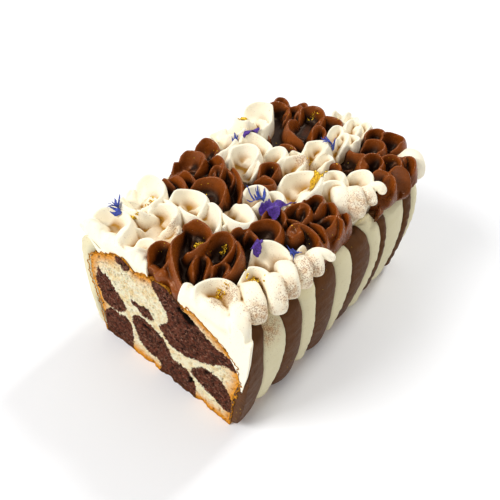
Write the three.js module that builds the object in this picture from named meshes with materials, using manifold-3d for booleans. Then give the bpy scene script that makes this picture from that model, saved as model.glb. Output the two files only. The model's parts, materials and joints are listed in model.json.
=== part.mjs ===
// Marble loaf cake with one end cut, striped buttercream sides and a piped ruffle top.
// Millimetres, +Z up. The origin is on the table under the middle of the sponge.
// +X is the right-hand side seen from the cut end, and the loaf runs back along +Y.

import * as THREE from 'three';
import { mergeVertices } from 'three/addons/utils/BufferGeometryUtils.js';
import Module from 'manifold-3d';

const wasm = await Module();
wasm.setup();

// ---------------------------------------------------------------- driving dimensions

const GAP = 0.3; // clearance between pieces that touch
const LENGTH = 157; // reference length of the loaf at the height where it is widest
const HALF_WIDTH = 48; // reference half width, from which the wall profiles are measured
const CORNER_RADIUS = 14; // back corners in plan, at the reference width
const LOAF_TILT = 0.055; // the dome stands higher on the left: rise per mm across
const LEAN_START = 20; // height at which that begins
const LEAN_FULL = 62; // and above which it is complete
const DOME_SPINE = 2.5; // half width of the flat strip along the crown
const SPINE_REACH = 0.7; // the crown strip's length over the loaf's length
const SPINE_SETTLE = 13; // the dome begins to shorten towards it this far in from the shoulder
const BACK_SLOPE = 25; // length of the stretch over which the dome turns down to the back
const BARREL = 1.4; // how far the long sides bow outwards at mid length

// Half profile of the baked sponge, from the table up to the crown: [half width, height]
const SPONGE_WALL = [[45.2, 0], [46.6, 26], [50.4, 43], [47.5, 56.5]];
const SPONGE_DOME = [[42, 61.5], [34.5, 66], [26, 69.6], [14, 71.7], [DOME_SPINE, 72.5]];

// Profile of the striped icing, from its foot over the shoulder:
// [half width outside, height outside, half width inside, height inside]
const ICING_WALL = [[48.6, 4, 45.4, 4], [52.3, 26, 46.6, 26], [53.2, 43, 50.4, 43], [52.2, 57, 47.5, 56.5],
  [49.8, 66, 42, 61.5], [44.6, 70.6, 38.2, 63.8]];
const RIB_DEPTH = 2.3; // from the crease between two stripes out to the crown of a stripe
const RIB_FULLNESS = 0.7; // below 1 the crown of a stripe is flatter and its edges steeper
const CREASE_DEPTH = 1.1; // depth of the crease below the mean wall
const FOOT_ROUND = 1.2; // the foot of a stripe is drawn in by this much
const SHOULDER_SLOPE = 0.9; // creases sink by this share of their depth at the top of the wall
const DOME_CLEAR = 1.7; // clearance over the dome, as a multiple of the gap, for its facets
const BACKING_GAP = 0.6; // clearance between a stripe and the sponge behind it

// Layer of icing under the ruffles: height of its top over the half width
const BED_HEIGHT = [[0, 77], [32, 75.2], [42, 73.4], [48, 71]];
const BED_END_DROP = 3; // the layer comes down by this much over its last stretch
const BED_LEAN = 0.8; // share of the loaf's own lean that it follows
const BED_BOTTOM = 58; // inside the sponge, where it is cut away again

// Smooth tongue of icing that runs down the right corner of the cut:
// [height, inner half width, outer half width, depth behind the cut]
const CORNER_TONGUE = [[42, 50.4, 52.6, 2], [52, 48, 53.6, 3.4], [62, 42, 54.4, 5], [75, 38, 54.8, 6.4]];

// Knobbly crust at the cut end: [across, rise, spread]
const CRUST_KNOBS = [[-26, 2.6, 6], [-13, -2.4, 4], [4, 1.6, 5], [15, -1.6, 4]];
const KNOB_REACH = 26; // how far the knobs run back into the loaf
const KNOB_START = 64; // height on the dome at which they begin
const KNOB_FULL = 69; // and above which they are complete

// Open bubbles in the cut face: [across, height, radius]
const BUBBLES = [[17, 61.5, 2.9], [-11, 29, 1.9], [19, 12, 1.8], [22, 43, 1.4], [-35, 40, 1.5]];

const CREAM = 0xf2e6c8;
const CHOCOLATE = 0x4f2a16;
const SPONGE = 0xd9a45c;
const BLUE = 0x3347a8;
const VIOLET = 0x5b2f9c;
const GOLD = 0xd4a531;

// Stripe edges along the right side: [at mid height, shift at the shoulder, shift at the foot]
const RIGHT_EDGES = [[0, 0, 0], [14.5, 4, 1], [30, -3, -1.5], [42.5, -1, 4.5], [53.5, 2, 3], [70.5, 0, 6],
  [85.5, -3, -4], [104, -7, -6], [114, -5, -3], [119, -2, 4], [139.5, -1, 2], [147, 0, 0]];
const BACK_STRIPES = 8;
const LEFT_EDGE_WOBBLE = 2.2;
const EDGE_MIDDLE = 0.45; // share of the wall's height from which an edge swings to both sides
const EDGE_BEND = 1.5; // how suddenly it swings
const FOOT_SWING = 1.7; // the stripes' feet end higher and lower by this much
const FOOT_MEAN = -0.5;

// Ruffles. Every fold of piped icing is an arc of an ellipse in plan:
// [across, back, radius towards turn, radius square to it, turn, sweep, height of its lip]
// The fields' cells are plan outlines, and neighbouring cells share their corners.
const RUFFLES = [
  {
    name: 'cream_ruffle_front_left', colour: CREAM, base: 7.5, lip: 2.2,
    cell: [[-70, 0], [-6, 0], [-9, 6], [-10, 14], [-6, 18], [-9, 30], [-5, 34], [3, 32.5], [8.5, 30.5],
      [6, 36], [1, 42], [-1, 46], [-9, 47.5], [-21, 49.5], [-26, 44], [-27, 36.5], [-34, 41],
      [-44, 41.5], [-70, 42]],
    folds: [[-37.5, 5, 11, 11, 75, 210, 83], [-37, 29.5, 9.5, 11, -88, 130, 84],
      [-40, 31, 10, 9.5, 60, 200, 86], [-22, 26.5, 6.5, 6.5, 90, 330, 84],
      [-23.5, 14.5, 20, 22, 97, 48, 86], [-20.5, 8.5, 8, 7.5, -115, 230, 83],
      [-12, 5, 5.5, 6, 90, 190, 83], [-22, 16, 15, 15, 30, 66, 84], [-18, 40, 8, 8, 100, 210, 86],
      [-6.5, 33.5, 11, 11.5, 50, 150, 86], [-14, 43, 7.5, 9, -90, 130, 84]],
    walls: [[[-47.5, 2.5], [-9, 2.5], 81]],
  },
  {
    name: 'chocolate_ruffle_front', colour: CHOCOLATE, base: 6.5, lip: 1.6,
    cell: [[-6, 0], [14, 0], [15, 4], [21, 8], [22, 13], [26, 16.5], [33, 16], [33, 25], [28, 31], [23, 34],
      [19, 36.5], [12, 36], [8.5, 30.5], [3, 32.5], [-5, 34], [-9, 30], [-6, 18], [-10, 14], [-9, 6]],
    folds: [[-4.5, 8, 6.2, 4.2, 110, 310, 84], [25, 34.5, 33, 33, 220, 62, 86],
      [-1, 23.5, 8.5, 8, 50, 200, 87], [13.5, 15.5, 5.5, 2.5, 120, 300, 83],
      [14, 26, 7.2, 4.4, 95, 260, 87], [13, 21.5, 12.2, 13, 40, 120, 87],
      [21.5, 19, 3.5, 2.2, 100, 280, 83]],
    walls: [[[-4.5, 2], [13, 2], 83]],
  },
  {
    name: 'cream_ruffle_front_right', colour: CREAM, base: 8.5, lip: 4,
    cell: [[14, 0], [70, 0], [70, 61.5], [49, 61], [44, 57.5], [41, 52.5], [38, 47.5], [32, 47], [27, 42.5],
      [26.5, 36], [28, 31], [33, 25], [33, 16], [26, 16.5], [22, 13], [21, 8], [15, 4]],
    folds: [[30, 5.5, 9, 8, 110, 230, 84], [38, 22, 6.5, 5, 120, 180, 86], [35, 37.5, 7, 8.5, 110, 200, 86],
      [48, 50.5, 6, 5.5, 110, 170, 86]],
    walls: [[[17, 2.5], [50, 2.5], 82]],
    fingers: [[[38, 11], [47.5, 3.2], 85, 66, 4.3], [[36, 21], [47.5, 12.8], 87, 74.5, 4.9],
      [[40, 31], [51, 22.5], 87.5, 74.5, 4.7], [[40, 40], [50.2, 33], 88, 74.5, 4.3],
      [[44, 48.5], [51.6, 41.2], 87, 75, 4], [[46, 55], [52.3, 49.5], 87, 76.5, 3.5],
      [[45, 52.4], [55, 57.2], 87.6, 84, 2.2]],
    tongue: true,
  },
  {
    name: 'chocolate_ruffle_middle_right', colour: CHOCOLATE, base: 6.5, lip: 1.6,
    cell: [[12, 36], [19, 36.5], [23, 34], [28, 31], [26.5, 36], [27, 42.5], [32, 47], [38, 47.5],
      [41, 52.5], [44, 57.5], [49, 61], [70, 61.5], [70, 86], [50, 86], [45, 83.5], [35, 84.5],
      [27, 84.5], [26, 73.5], [22, 73.5], [20, 66.5], [17, 63.5], [15.5, 57], [16, 52], [15, 46], [11, 41]],
    folds: [[18, 40, 4.5, 5.5, 110, 220, 84], [23, 46.5, 7.5, 6, 85, 240, 87],
      [29.5, 58.5, 5, 4.6, 60, 320, 85], [39, 56, 5.8, 6.5, 80, 230, 87],
      [21, 58, 5, 3.8, 110, 240, 86], [27, 67, 6, 4, 85, 250, 87], [29, 77, 6.4, 3, 95, 270, 88],
      [33, 73, 9.5, 8.5, 45, 120, 88], [43.5, 70, 6.5, 6.5, 45, 220, 86], [37, 59, 8, 11, 90, 120, 85],
      [43, 77.5, 5, 6, 35, 140, 86]],
    walls: [],
  },
  {
    name: 'cream_ruffle_centre', colour: CREAM, base: 7.5, lip: 2.2,
    cell: [[-1, 46], [1, 42], [6, 36], [8.5, 30.5], [12, 36], [11, 41], [15, 46], [16, 52], [15.5, 57],
      [17, 63.5], [20, 66.5], [22, 73.5], [13, 75], [7, 76], [4, 74], [-1, 73], [-6, 70], [-4, 66],
      [-2, 60.5], [-3, 58], [-8, 54.5]],
    folds: [[3.8, 50.5, 10, 5.6, -15, 330, 86], [8.5, 40, 5.5, 2, 95, 280, 83],
      [3, 64.5, 6, 4.6, 70, 320, 86], [11.5, 69, 4.5, 4, 90, 250, 85], [17.5, 69, 3.6, 2.4, 60, 260, 84]],
    walls: [],
  },
  {
    name: 'chocolate_ruffle_middle_left', colour: CHOCOLATE, base: 6.5, lip: 1.6,
    cell: [[-70, 42], [-44, 41.5], [-34, 41], [-27, 36.5], [-26, 44], [-21, 49.5], [-9, 47.5], [-1, 46],
      [-8, 54.5], [-3, 58], [-2, 60.5], [-4, 66], [-6, 70], [-1, 73], [4, 74], [5, 80], [5, 92],
      [0, 92], [-5, 95], [-9, 93], [-10, 80], [-17, 78], [-27, 76], [-35, 76], [-37, 84], [-36, 87.5],
      [-70, 88]],
    folds: [[-38, 43.5, 3, 7, 100, 150, 82], [-35, 40, 10.5, 11, 75, 110, 84],
      [-41, 65.5, 6, 7, 95, 220, 85], [-33, 51, 6.5, 7, 85, 130, 83], [-42, 80, 5, 5.5, 100, 230, 84],
      [-17, 52, 8.2, 8.5, 95, 190, 86], [-10, 78, 17, 17, 212, 44, 85], [-34, 41, 37, 37, 47, 42, 87],
      [-30, 66, 8, 9, 60, 130, 86], [-1.5, 77, 5.4, 3.4, 20, 320, 85], [-5, 87.5, 5, 3.4, 100, 290, 85],
      [-20, 67, 5, 6, 100, 200, 84]],
    walls: [],
  },
  {
    name: 'cream_ruffle_middle_right', colour: CREAM, base: 8, lip: 2.6,
    cell: [[7, 76], [13, 75], [22, 73.5], [26, 73.5], [27, 84.5], [35, 84.5], [45, 83.5], [50, 86],
      [70, 86], [70, 108], [50, 108], [47, 115.5], [41, 113.5], [37, 119], [31, 117.5], [27, 112],
      [21, 109], [15, 108], [11, 108], [8, 100], [5, 92], [5, 80], [4, 74]],
    folds: [[14.5, 87, 11, 8, 80, 330, 86], [23.5, 83, 7, 2.5, 95, 260, 84], [30.5, 94, 6, 5, 90, 300, 86],
      [35, 110.5, 5.5, 5, 80, 230, 86], [25.5, 101.5, 5, 3.6, 110, 240, 87]],
    walls: [],
    fingers: [[[30, 100], [37.3, 92.2], 87, 76, 4.8], [[35, 105], [44.3, 95.6], 87.5, 75.5, 4.8],
      [[39, 109], [46.8, 104.6], 86.5, 79, 3.3], [[41.8, 112], [48, 113.4], 87.5, 83, 2.4]],
  },
  {
    name: 'cream_ruffle_left', colour: CREAM, base: 8, lip: 2.4,
    cell: [[-70, 88], [-36, 87.5], [-37, 84], [-35, 76], [-27, 76], [-17, 78], [-10, 80], [-9, 93],
      [-5, 95], [0, 92], [5, 92], [8, 100], [6, 107], [3, 111.5], [-3, 113.5], [-8, 107], [-16, 104],
      [-27, 108], [-26, 113], [-31, 122], [-38, 131.5], [-45, 134], [-70, 134]],
    folds: [[-47.5, 95.5, 5.8, 4.2, 170, 320, 83], [-40.5, 117, 13.5, 10.5, 80, 250, 86],
      [-45.5, 117.5, 5.5, 5.5, -95, 170, 85], [-40, 111, 10.5, 10.5, 42, 80, 85],
      [-37, 88, 4.5, 7, 0, 160, 85], [-22, 87, 7, 6.6, 100, 230, 86], [-18.5, 82, 8, 8, 50, 110, 84],
      [-24, 99.5, 6, 8, 95, 210, 85], [-10, 98, 6, 4, 80, 250, 85], [1.5, 99, 6.5, 4.6, 80, 260, 85],
      [-2, 108.5, 2.6, 2.6, 90, 320, 83], [-43, 104, 5, 5, -20, 180, 83]],
    walls: [],
  },
  {
    name: 'cream_ruffle_back_centre', colour: CREAM, base: 6.5, lip: 2.2,
    cell: [[-3, 113.5], [3, 111.5], [6, 107], [8, 100], [11, 108], [14, 109], [14, 116], [17, 118],
      [13, 127], [14, 133.5], [17, 137], [15.5, 143], [15, 152], [17, 156], [17, 180], [-11, 180],
      [-10.5, 153], [-3, 151], [3, 144.5], [1, 138], [2, 128], [-2, 124]],
    folds: [[3, 118, 6, 4.6, 85, 270, 86], [11, 113, 5, 2.4, 70, 260, 84], [4, 134, 7, 2.2, 95, 280, 86],
      [10, 130, 8, 2.2, 100, 280, 85], [13.5, 137, 3, 2.4, 60, 280, 86], [8, 147, 8, 2.6, 105, 280, 86],
      [2.5, 153, 6, 2.6, 110, 280, 86], [12.5, 149, 5, 2.2, 90, 260, 86], [-6, 156, 4, 3.6, 90, 220, 84],
      [12, 158, 2.6, 3, 90, 220, 85]],
    walls: [],
  },
  {
    name: 'chocolate_ruffle_back_left', colour: CHOCOLATE, base: 6.5, lip: 1.7,
    cell: [[-70, 134], [-45, 134], [-38, 131.5], [-31, 122], [-26, 113], [-27, 108], [-16, 104], [-8, 107],
      [-3, 113.5], [-2, 124], [2, 128], [1, 138], [3, 144.5], [-3, 151], [-10.5, 153], [-11, 180],
      [-70, 180]],
    folds: [[-35.4, 134, 8.5, 5.8, 100, 210, 83], [-18.6, 142, 8.2, 7.6, 95, 230, 83.5],
      [-6, 142.4, 7, 6.6, 75, 200, 84], [-11, 131, 10.5, 10.5, 225, 120, 86], [-20, 129, 15, 15, 222, 56, 84],
      [-11, 110, 4, 6, 100, 160, 81], [-27, 137, 8, 4, 110, 150, 84], [-4, 131, 5, 2.4, 110, 260, 85],
      [-41, 146, 5, 3.4, 125, 300, 80], [-31, 150.5, 5, 3, 100, 280, 79], [-20, 154, 4, 2.6, 80, 260, 79]],
    walls: [],
  },
  {
    name: 'chocolate_ruffle_back_right', colour: CHOCOLATE, base: 6.5, lip: 1.7,
    cell: [[14, 109], [11, 108], [15, 108], [21, 109], [27, 112], [31, 117.5], [37, 119], [41, 113.5],
      [47, 115.5], [50, 108], [70, 108], [70, 143], [54, 143], [44, 148.5], [39, 153], [34, 159],
      [34, 180], [17, 180], [17, 156], [15, 152], [15.5, 143], [17, 137], [14, 133.5], [13, 127],
      [17, 118], [14, 116]],
    folds: [[21, 149, 5, 3.2, 95, 290, 86], [30.5, 150.5, 6, 4.6, 80, 310, 87],
      [36, 141, 10, 8, 35, 90, 86], [25.5, 139.5, 4.6, 4.4, 60, 330, 86], [17, 116, 15, 13, 55, 80, 86],
      [33, 126, 7.4, 3.6, 95, 260, 86], [40, 133, 4.8, 3.8, 80, 290, 86],
      [47, 139.5, 5.2, 4.2, 60, 290, 86], [50.5, 127, 7, 4.8, 60, 270, 87],
      [44, 118, 6.5, 6, 90, 170, 85], [18, 112.5, 3, 2.6, 60, 300, 82]],
    walls: [],
  },
  {
    name: 'cream_ruffle_back_corner', colour: CREAM, base: 8, lip: 4,
    cell: [[34, 180], [34, 159], [39, 153], [44, 148.5], [54, 143], [70, 143], [70, 180]],
    folds: [[44, 149.5, 5, 4.6, 60, 230, 83]],
    walls: [],
    fingers: [[[39, 146], [46.8, 153.2], 85, 64, 7.2]],
  },
];

// Dried petals and gold leaf lying on the ruffles. Each lobe is a thin wavy blade:
// [across, back] of its root, [across, back] of its tip, widths from root to tip, rise of the tip
const PETAL_THICKNESS = 0.7;
const PETAL_WAVE = 0.5;
const TOPPINGS = [
  { name: 'violet_petal_centre', colour: VIOLET,
    lobes: [[[11, 59.5], [16.5, 69.5], [2, 6, 8, 6], 0.6], [[11.5, 61], [20.8, 62.6], [2, 4, 6, 4.4], -0.4],
      [[15.5, 67], [22.8, 73.6], [2.4, 2, 1.2], 0.3]] },
  { name: 'blue_petal_centre', colour: BLUE,
    lobes: [[[9.4, 64.4], [1, 69.8], [1.6, 3.6, 2.4], 1.8], [[9, 64.2], [-2.4, 65.6],
      [1.2, 1.4, 2.6], 1.2]] },
  { name: 'violet_petal_front', colour: VIOLET,
    lobes: [[[28.6, 35.4], [23.6, 42.6], [2.6, 4.6, 4.8, 3.6], 1.2]] },
  { name: 'blue_petal_front', colour: BLUE,
    lobes: [[[41.2, 46.4], [35.2, 50.7], [1.6, 2, 1], 1.6], [[40, 46.6], [44.4, 48], [1.4, 2.6, 1.6], 0.3],
      [[40, 47], [43.9, 42.8], [1.4, 2.6, 1.6], -0.2]] },
  { name: 'blue_petal_left', colour: BLUE,
    lobes: [[[-36, 12.6], [-45.4, 11.6], [1.8, 2.8, 1.2], 0.4], [[-40.4, 14.6], [-48, 12.8],
      [1.8, 2.4, 1.2], 1], [[-39.8, 13.2], [-47.4, 18.2], [1.6, 2.6, 1.4], 2.2]] },
  { name: 'violet_petal_back', colour: VIOLET, lobes: [[[-32, 99], [-32.6, 112.4], [1.4, 3, 5, 5.4], 1.4]] },
  { name: 'blue_petal_back_left', colour: BLUE,
    lobes: [[[-35.6, 97], [-39.6, 100.4], [1.4, 2.8, 1.4], 0.8]] },
  { name: 'blue_petal_back', colour: BLUE,
    lobes: [[[10, 123.4], [1.2, 130.8], [1.6, 3, 1.6], 1.6], [[9.4, 123.2], [1.6, 124.4],
      [1.4, 2.2, 1.2], 0.6]] },
  { name: 'gold_leaf_right', colour: GOLD, lobes: [[[19.2, 89.4], [17, 103.6], [1.6, 3.4, 6.6, 5.4], 0.4]] },
  { name: 'gold_leaf_back', colour: GOLD, lobes: [[[-43.4, 111.4], [-48.6, 119.4], [3.4, 6.4, 3], 0.6]] },
];

// Small gold flakes pressed into the icing: [across, back, length, width, turn]
const FLAKES = {
  chocolate_ruffle_front: [[1, 27, 3.6, 2.2, 30], [13.5, 31, 3, 1.8, 80]],
  cream_ruffle_front_left: [[-33, 31, 4.4, 2, 20], [-31, 18, 3, 1.8, 70]],
  cream_ruffle_front_right: [[36.5, 24.5, 5.6, 4, 10], [27.5, 13, 4, 1.8, 50]],
  cream_ruffle_back_centre: [[4, 112.5, 3, 2, 15]],
  chocolate_ruffle_back_left: [[-20, 149, 3, 1.6, 40]],
};
const FLAKE_THICKNESS = 1;
const FLAKE_SINK = 0.6; // a flake is pressed this far below the lip it lies on

const TOP_OF_ALL = 96; // toppings are let down onto the icing from this height
const LOWEST_REST = 70; // and stop here at the latest
const LET_DOWN = 0.25; // step by which they come down

const MOUND_SIDES = 6;
const MOUND_WIDTH = 0.62; // a closed fold narrower than this share of its root is a solid knob
const FINGER_SIDES = 5;
const WALL_STEPS = 2;
const FOLD_STEP = 84; // degrees of sweep covered by one straight facet of a fold
const FOLD_ROOT = 3.2; // how far a fold is sunk into the bed
const FOLD_END_DROP = 1.5; // a fold's lip dips towards its ends
const FOLD_WAVE = 0.8; // and rises and falls between them
const CELL_INSET = GAP / 2;
const PAST_CUT = 6; // cutting bodies reach this far in front of the cut end
const BAND_CLEAR = 0.7; // the ruffles clear the stripes' crowns by this much
const BAND_LIFT = 1.4; // and their tops by this much
const BAND_SINK = 1.2; // and are cut this far in behind the stripes

// ---------------------------------------------------------------- small helpers

const radians = (degrees) => (degrees * Math.PI) / 180;
const mix = (a, b, t) => a + (b - a) * t;

function lookUp(points, value) {
  // straight-line reading of a [position, value] list, held level past its ends
  if (value <= points[0][0]) return points[0][1];
  for (let i = 1; i < points.length; i += 1) {
    const [x0, y0] = points[i - 1];
    const [x1, y1] = points[i];
    if (value <= x1) return mix(y0, y1, (value - x0) / (x1 - x0));
  }
  return points[points.length - 1][1];
}

const evenly = (steps) => Array.from({ length: steps + 1 }, (_, i) => i / steps);

function closedGeometry(vertices, triangles) {
  const geometry = new THREE.BufferGeometry();
  geometry.setAttribute('position', new THREE.Float32BufferAttribute(vertices.flat(), 3));
  geometry.setIndex(triangles.flat());
  return geometry;
}

function toSolid(geometry) {
  const plain = geometry.clone();
  plain.deleteAttribute('normal');
  plain.deleteAttribute('uv');
  const merged = mergeVertices(plain, 1e-4);
  const mesh = new wasm.Mesh({
    numProp: 3,
    vertProperties: new Float32Array(merged.attributes.position.array),
    triVerts: new Uint32Array(merged.index.array),
  });
  return new wasm.Manifold(mesh);
}

function toGeometry(solid) {
  const mesh = solid.getMesh();
  const geometry = new THREE.BufferGeometry();
  geometry.setAttribute('position', new THREE.Float32BufferAttribute(mesh.vertProperties, 3));
  geometry.setIndex(new THREE.Uint32BufferAttribute(mesh.triVerts, 1));
  return geometry;
}

function loft(rings) {
  // Closed skin through rings of equal length. The last strip is split along its other
  // diagonal, so that it lies flat against a neighbour's first strip. Each end is closed
  // from one side of the ring straight across to the other.
  const size = rings[0].length;
  const vertices = rings.flat();
  const triangles = [];
  for (let k = 0; k < rings.length - 1; k += 1) {
    for (let i = 0; i < size; i += 1) {
      const a = k * size + i;
      const b = k * size + ((i + 1) % size);
      if (i === size - 1) triangles.push([a, b, a + size], [b, b + size, a + size]);
      else triangles.push([a, b, b + size], [a, b + size, a + size]);
    }
  }
  const last = (rings.length - 1) * size;
  for (let i = 0, j = size - 1; i + 1 < j; i += 1, j -= 1) {
    triangles.push([i, j, i + 1], [last + i, last + i + 1, last + j]);
    if (i + 1 < j - 1) triangles.push([i + 1, j, j - 1], [last + i + 1, last + j - 1, last + j]);
  }
  return closedGeometry(vertices, triangles);
}

function signedVolume(geometry, triangles) {
  // six times the volume inside the listed triangles, negative when they face inwards
  const { position } = geometry.attributes;
  const index = geometry.index.array;
  const [a, b, c] = [new THREE.Vector3(), new THREE.Vector3(), new THREE.Vector3()];
  let volume = 0;
  for (const t of triangles) {
    a.fromBufferAttribute(position, index[3 * t]);
    b.fromBufferAttribute(position, index[3 * t + 1]);
    c.fromBufferAttribute(position, index[3 * t + 2]);
    volume += a.dot(b.cross(c));
  }
  return volume;
}

const allTriangles = (geometry) => Array.from({ length: geometry.index.count / 3 }, (_, t) => t);

function outward(geometry) {
  // a solid with its faces turned inside out has negative volume
  if (signedVolume(geometry, allTriangles(geometry)) < 0) {
    const turned = Array.from(geometry.index.array);
    for (let i = 0; i < turned.length; i += 3) {
      [turned[i + 1], turned[i + 2]] = [turned[i + 2], turned[i + 1]];
    }
    geometry.setIndex(turned);
  }
  return geometry;
}

function largestBody(solid) {
  // cutting can leave loose scraps: only the largest connected body is kept
  const geometry = toGeometry(solid);
  const index = geometry.index.array;
  const owner = Array.from({ length: geometry.attributes.position.count }, (_, v) => v);
  const find = (v) => {
    let root = v;
    while (owner[root] !== root) root = owner[root];
    owner[v] = root;
    return root;
  };
  for (let i = 0; i < index.length; i += 3) {
    owner[find(index[i + 1])] = find(index[i]);
    owner[find(index[i + 2])] = find(index[i]);
  }
  const bodies = new Map();
  for (const t of allTriangles(geometry)) {
    const root = find(index[3 * t]);
    if (!bodies.has(root)) bodies.set(root, []);
    bodies.get(root).push(t);
  }
  const volume = (triangles) => signedVolume(geometry, triangles);
  const largest = [...bodies.values()].reduce((best, body) => (volume(body) > volume(best) ? body : best));
  geometry.setIndex(largest.flatMap((t) => [index[3 * t], index[3 * t + 1], index[3 * t + 2]]));
  return geometry;
}

// ---------------------------------------------------------------- the loaf's plan and walls

const SIDE = LENGTH - CORNER_RADIUS;
const CORNER = (CORNER_RADIUS * Math.PI) / 2;
const BACK = 2 * (HALF_WIDTH - CORNER_RADIUS);
const PATH = 2 * SIDE + 2 * CORNER + BACK;

function planPoint(s, out) {
  // s runs from the cut end along the right side, round the back and up the left side
  const mirrored = s > PATH / 2;
  const along = mirrored ? PATH - s : s;
  let x;
  let y;
  let normal = [1, 0];
  if (along < SIDE) {
    const bow = BARREL * Math.sin((Math.PI * Math.max(along, 0)) / (SIDE + CORNER_RADIUS));
    x = HALF_WIDTH + bow;
    y = along;
  } else if (along < SIDE + CORNER) {
    const angle = (along - SIDE) / CORNER_RADIUS;
    const bow = BARREL * Math.sin((Math.PI * SIDE) / (SIDE + CORNER_RADIUS)) * Math.cos(angle);
    normal = [Math.cos(angle), Math.sin(angle)];
    x = HALF_WIDTH - CORNER_RADIUS + CORNER_RADIUS * normal[0] + bow;
    y = SIDE + CORNER_RADIUS * normal[1];
  } else {
    x = HALF_WIDTH - CORNER_RADIUS - (along - SIDE - CORNER);
    y = LENGTH;
    normal = [0, 1];
  }
  x += normal[0] * out;
  y += normal[1] * out;
  return [mirrored ? -x : x, y];
}

function leanRise(x, z) {
  return -LOAF_TILT * x * THREE.MathUtils.smoothstep(z, LEAN_START, LEAN_FULL);
}

function crustKnobs(x, y, z) {
  let rise = 0;
  for (const [across, height, spread] of CRUST_KNOBS) {
    rise += height * Math.exp(-(((x - across) / spread) ** 2));
  }
  return rise * Math.exp(-y / KNOB_REACH) * THREE.MathUtils.smoothstep(z, KNOB_START, KNOB_FULL);
}

function pathStations(sideSteps, cornerSteps, backSteps) {
  const half = [];
  for (let i = 0; i < sideSteps; i += 1) half.push((SIDE * i) / sideSteps);
  for (let i = 0; i < cornerSteps; i += 1) half.push(SIDE + (CORNER * i) / cornerSteps);
  for (let i = 0; i <= backSteps; i += 1) half.push(SIDE + CORNER + (BACK * i) / (2 * backSteps));
  return [...half, ...half.slice(0, -1).reverse().map((s) => PATH - s)];
}

function loafBody(wall, dome, grow, knobs) {
  // rings of path stations stacked level by level, then drawn in towards the crown
  const stations = pathStations(4, 3, 1);
  const [shoulder] = wall[wall.length - 1];
  const levels = [];
  for (const [half, height] of wall) {
    levels.push(stations.map((s) => {
      const [x, y] = planPoint(s, half - HALF_WIDTH + grow);
      return [x, y, height + leanRise(x, height)];
    }));
  }
  for (const [half, height] of dome) {
    const drawn = shoulder - half;
    const settle = THREE.MathUtils.smoothstep(drawn, SPINE_SETTLE, shoulder - DOME_SPINE);
    levels.push(stations.map((s) => {
      const [x0, y0] = planPoint(s, shoulder - HALF_WIDTH);
      const endFacing = THREE.MathUtils.smoothstep(y0, SIDE - BACK_SLOPE, LENGTH);
      const y = mix(y0 - drawn * endFacing, y0 * SPINE_REACH, settle);
      const x = (x0 * half) / shoulder;
      const knob = knobs ? crustKnobs(x, y, height) : 0;
      return [x, y, height + DOME_CLEAR * grow + leanRise(x, height) + knob];
    }));
  }
  if (grow > 0) {
    for (const point of levels[0]) point[2] -= PAST_CUT;
    for (const level of levels) {
      level[0][1] = -PAST_CUT;
      level[level.length - 1][1] = -PAST_CUT;
    }
  }
  const count = stations.length;
  const triangles = [];
  for (let k = 0; k < levels.length - 1; k += 1) {
    for (let i = 0; i < count - 1; i += 1) {
      const a = k * count + i;
      triangles.push([a, a + 1, a + 1 + count], [a, a + 1 + count, a + count]);
    }
    const right = k * count;
    const left = k * count + count - 1;
    triangles.push([right, right + count, left + count], [right, left + count, left]);
  }
  const top = (levels.length - 1) * count;
  for (let i = 0; i < (count - 1) / 2; i += 1) {
    const j = count - 1 - i;
    if (i + 1 === j - 1) {
      triangles.push([i, j, i + 1], [top + i, top + i + 1, top + j]);
    } else {
      triangles.push([i, j, j - 1], [i, j - 1, i + 1]);
      triangles.push([top + i, top + i + 1, top + j - 1], [top + i, top + j - 1, top + j]);
    }
  }
  return outward(closedGeometry(levels.flat(), triangles));
}

// ---------------------------------------------------------------- sponge

function spongeSolid() {
  let solid = toSolid(loafBody(SPONGE_WALL, SPONGE_DOME, 0, true));
  for (const [x, z, radius] of BUBBLES) {
    const bubble = new THREE.SphereGeometry(radius, 7, 4);
    bubble.scale(1, 1.3, 0.85);
    bubble.translate(x, 0, z);
    solid = solid.subtract(toSolid(bubble));
  }
  return solid;
}

// ---------------------------------------------------------------- striped icing on the walls

function wallStripe({ from, to, foot, outer, inner }) {
  // One vertical rib. from and to give its edges along the path, level by level; outer and
  // inner list the positions across the rib, from 0 at one edge to 1 at the other.
  // The foot slides along the first stretch of the wall, so that creases stay shared.
  const last = ICING_WALL.length - 1;
  const levels = ICING_WALL.map((row, k) => {
    const slide = k === 0 ? foot / (ICING_WALL[1][1] - row[1]) : 0;
    const next = ICING_WALL[Math.min(k + 1, last)];
    const [half, height, innerHalf, innerHeight] = row.map((value, j) => mix(value, next[j], slide));
    const start = mix(from(k / last), from((k + 1) / last), slide);
    const end = mix(to(k / last), to((k + 1) / last), slide);
    const point = (across, out, z) => {
      const [x, y] = planPoint(mix(start, end, across), out - HALF_WIDTH);
      return [x, y, z + leanRise(x, z)];
    };
    const ring = [];
    for (const across of outer) {
      const rise = RIB_DEPTH * Math.abs(Math.sin(Math.PI * across)) ** RIB_FULLNESS;
      const settled = k === last ? SHOULDER_SLOPE * (rise - RIB_DEPTH) : 0;
      ring.push(point(across, half + rise - CREASE_DEPTH - (k === 0 ? FOOT_ROUND : 0), height + settled));
    }
    for (const across of [...inner].reverse()) {
      ring.push(point(across, innerHalf + BACKING_GAP, innerHeight + (k > last - 2 ? BACKING_GAP : 0)));
    }
    return ring;
  });
  return toSolid(outward(loft(levels)));
}

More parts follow.
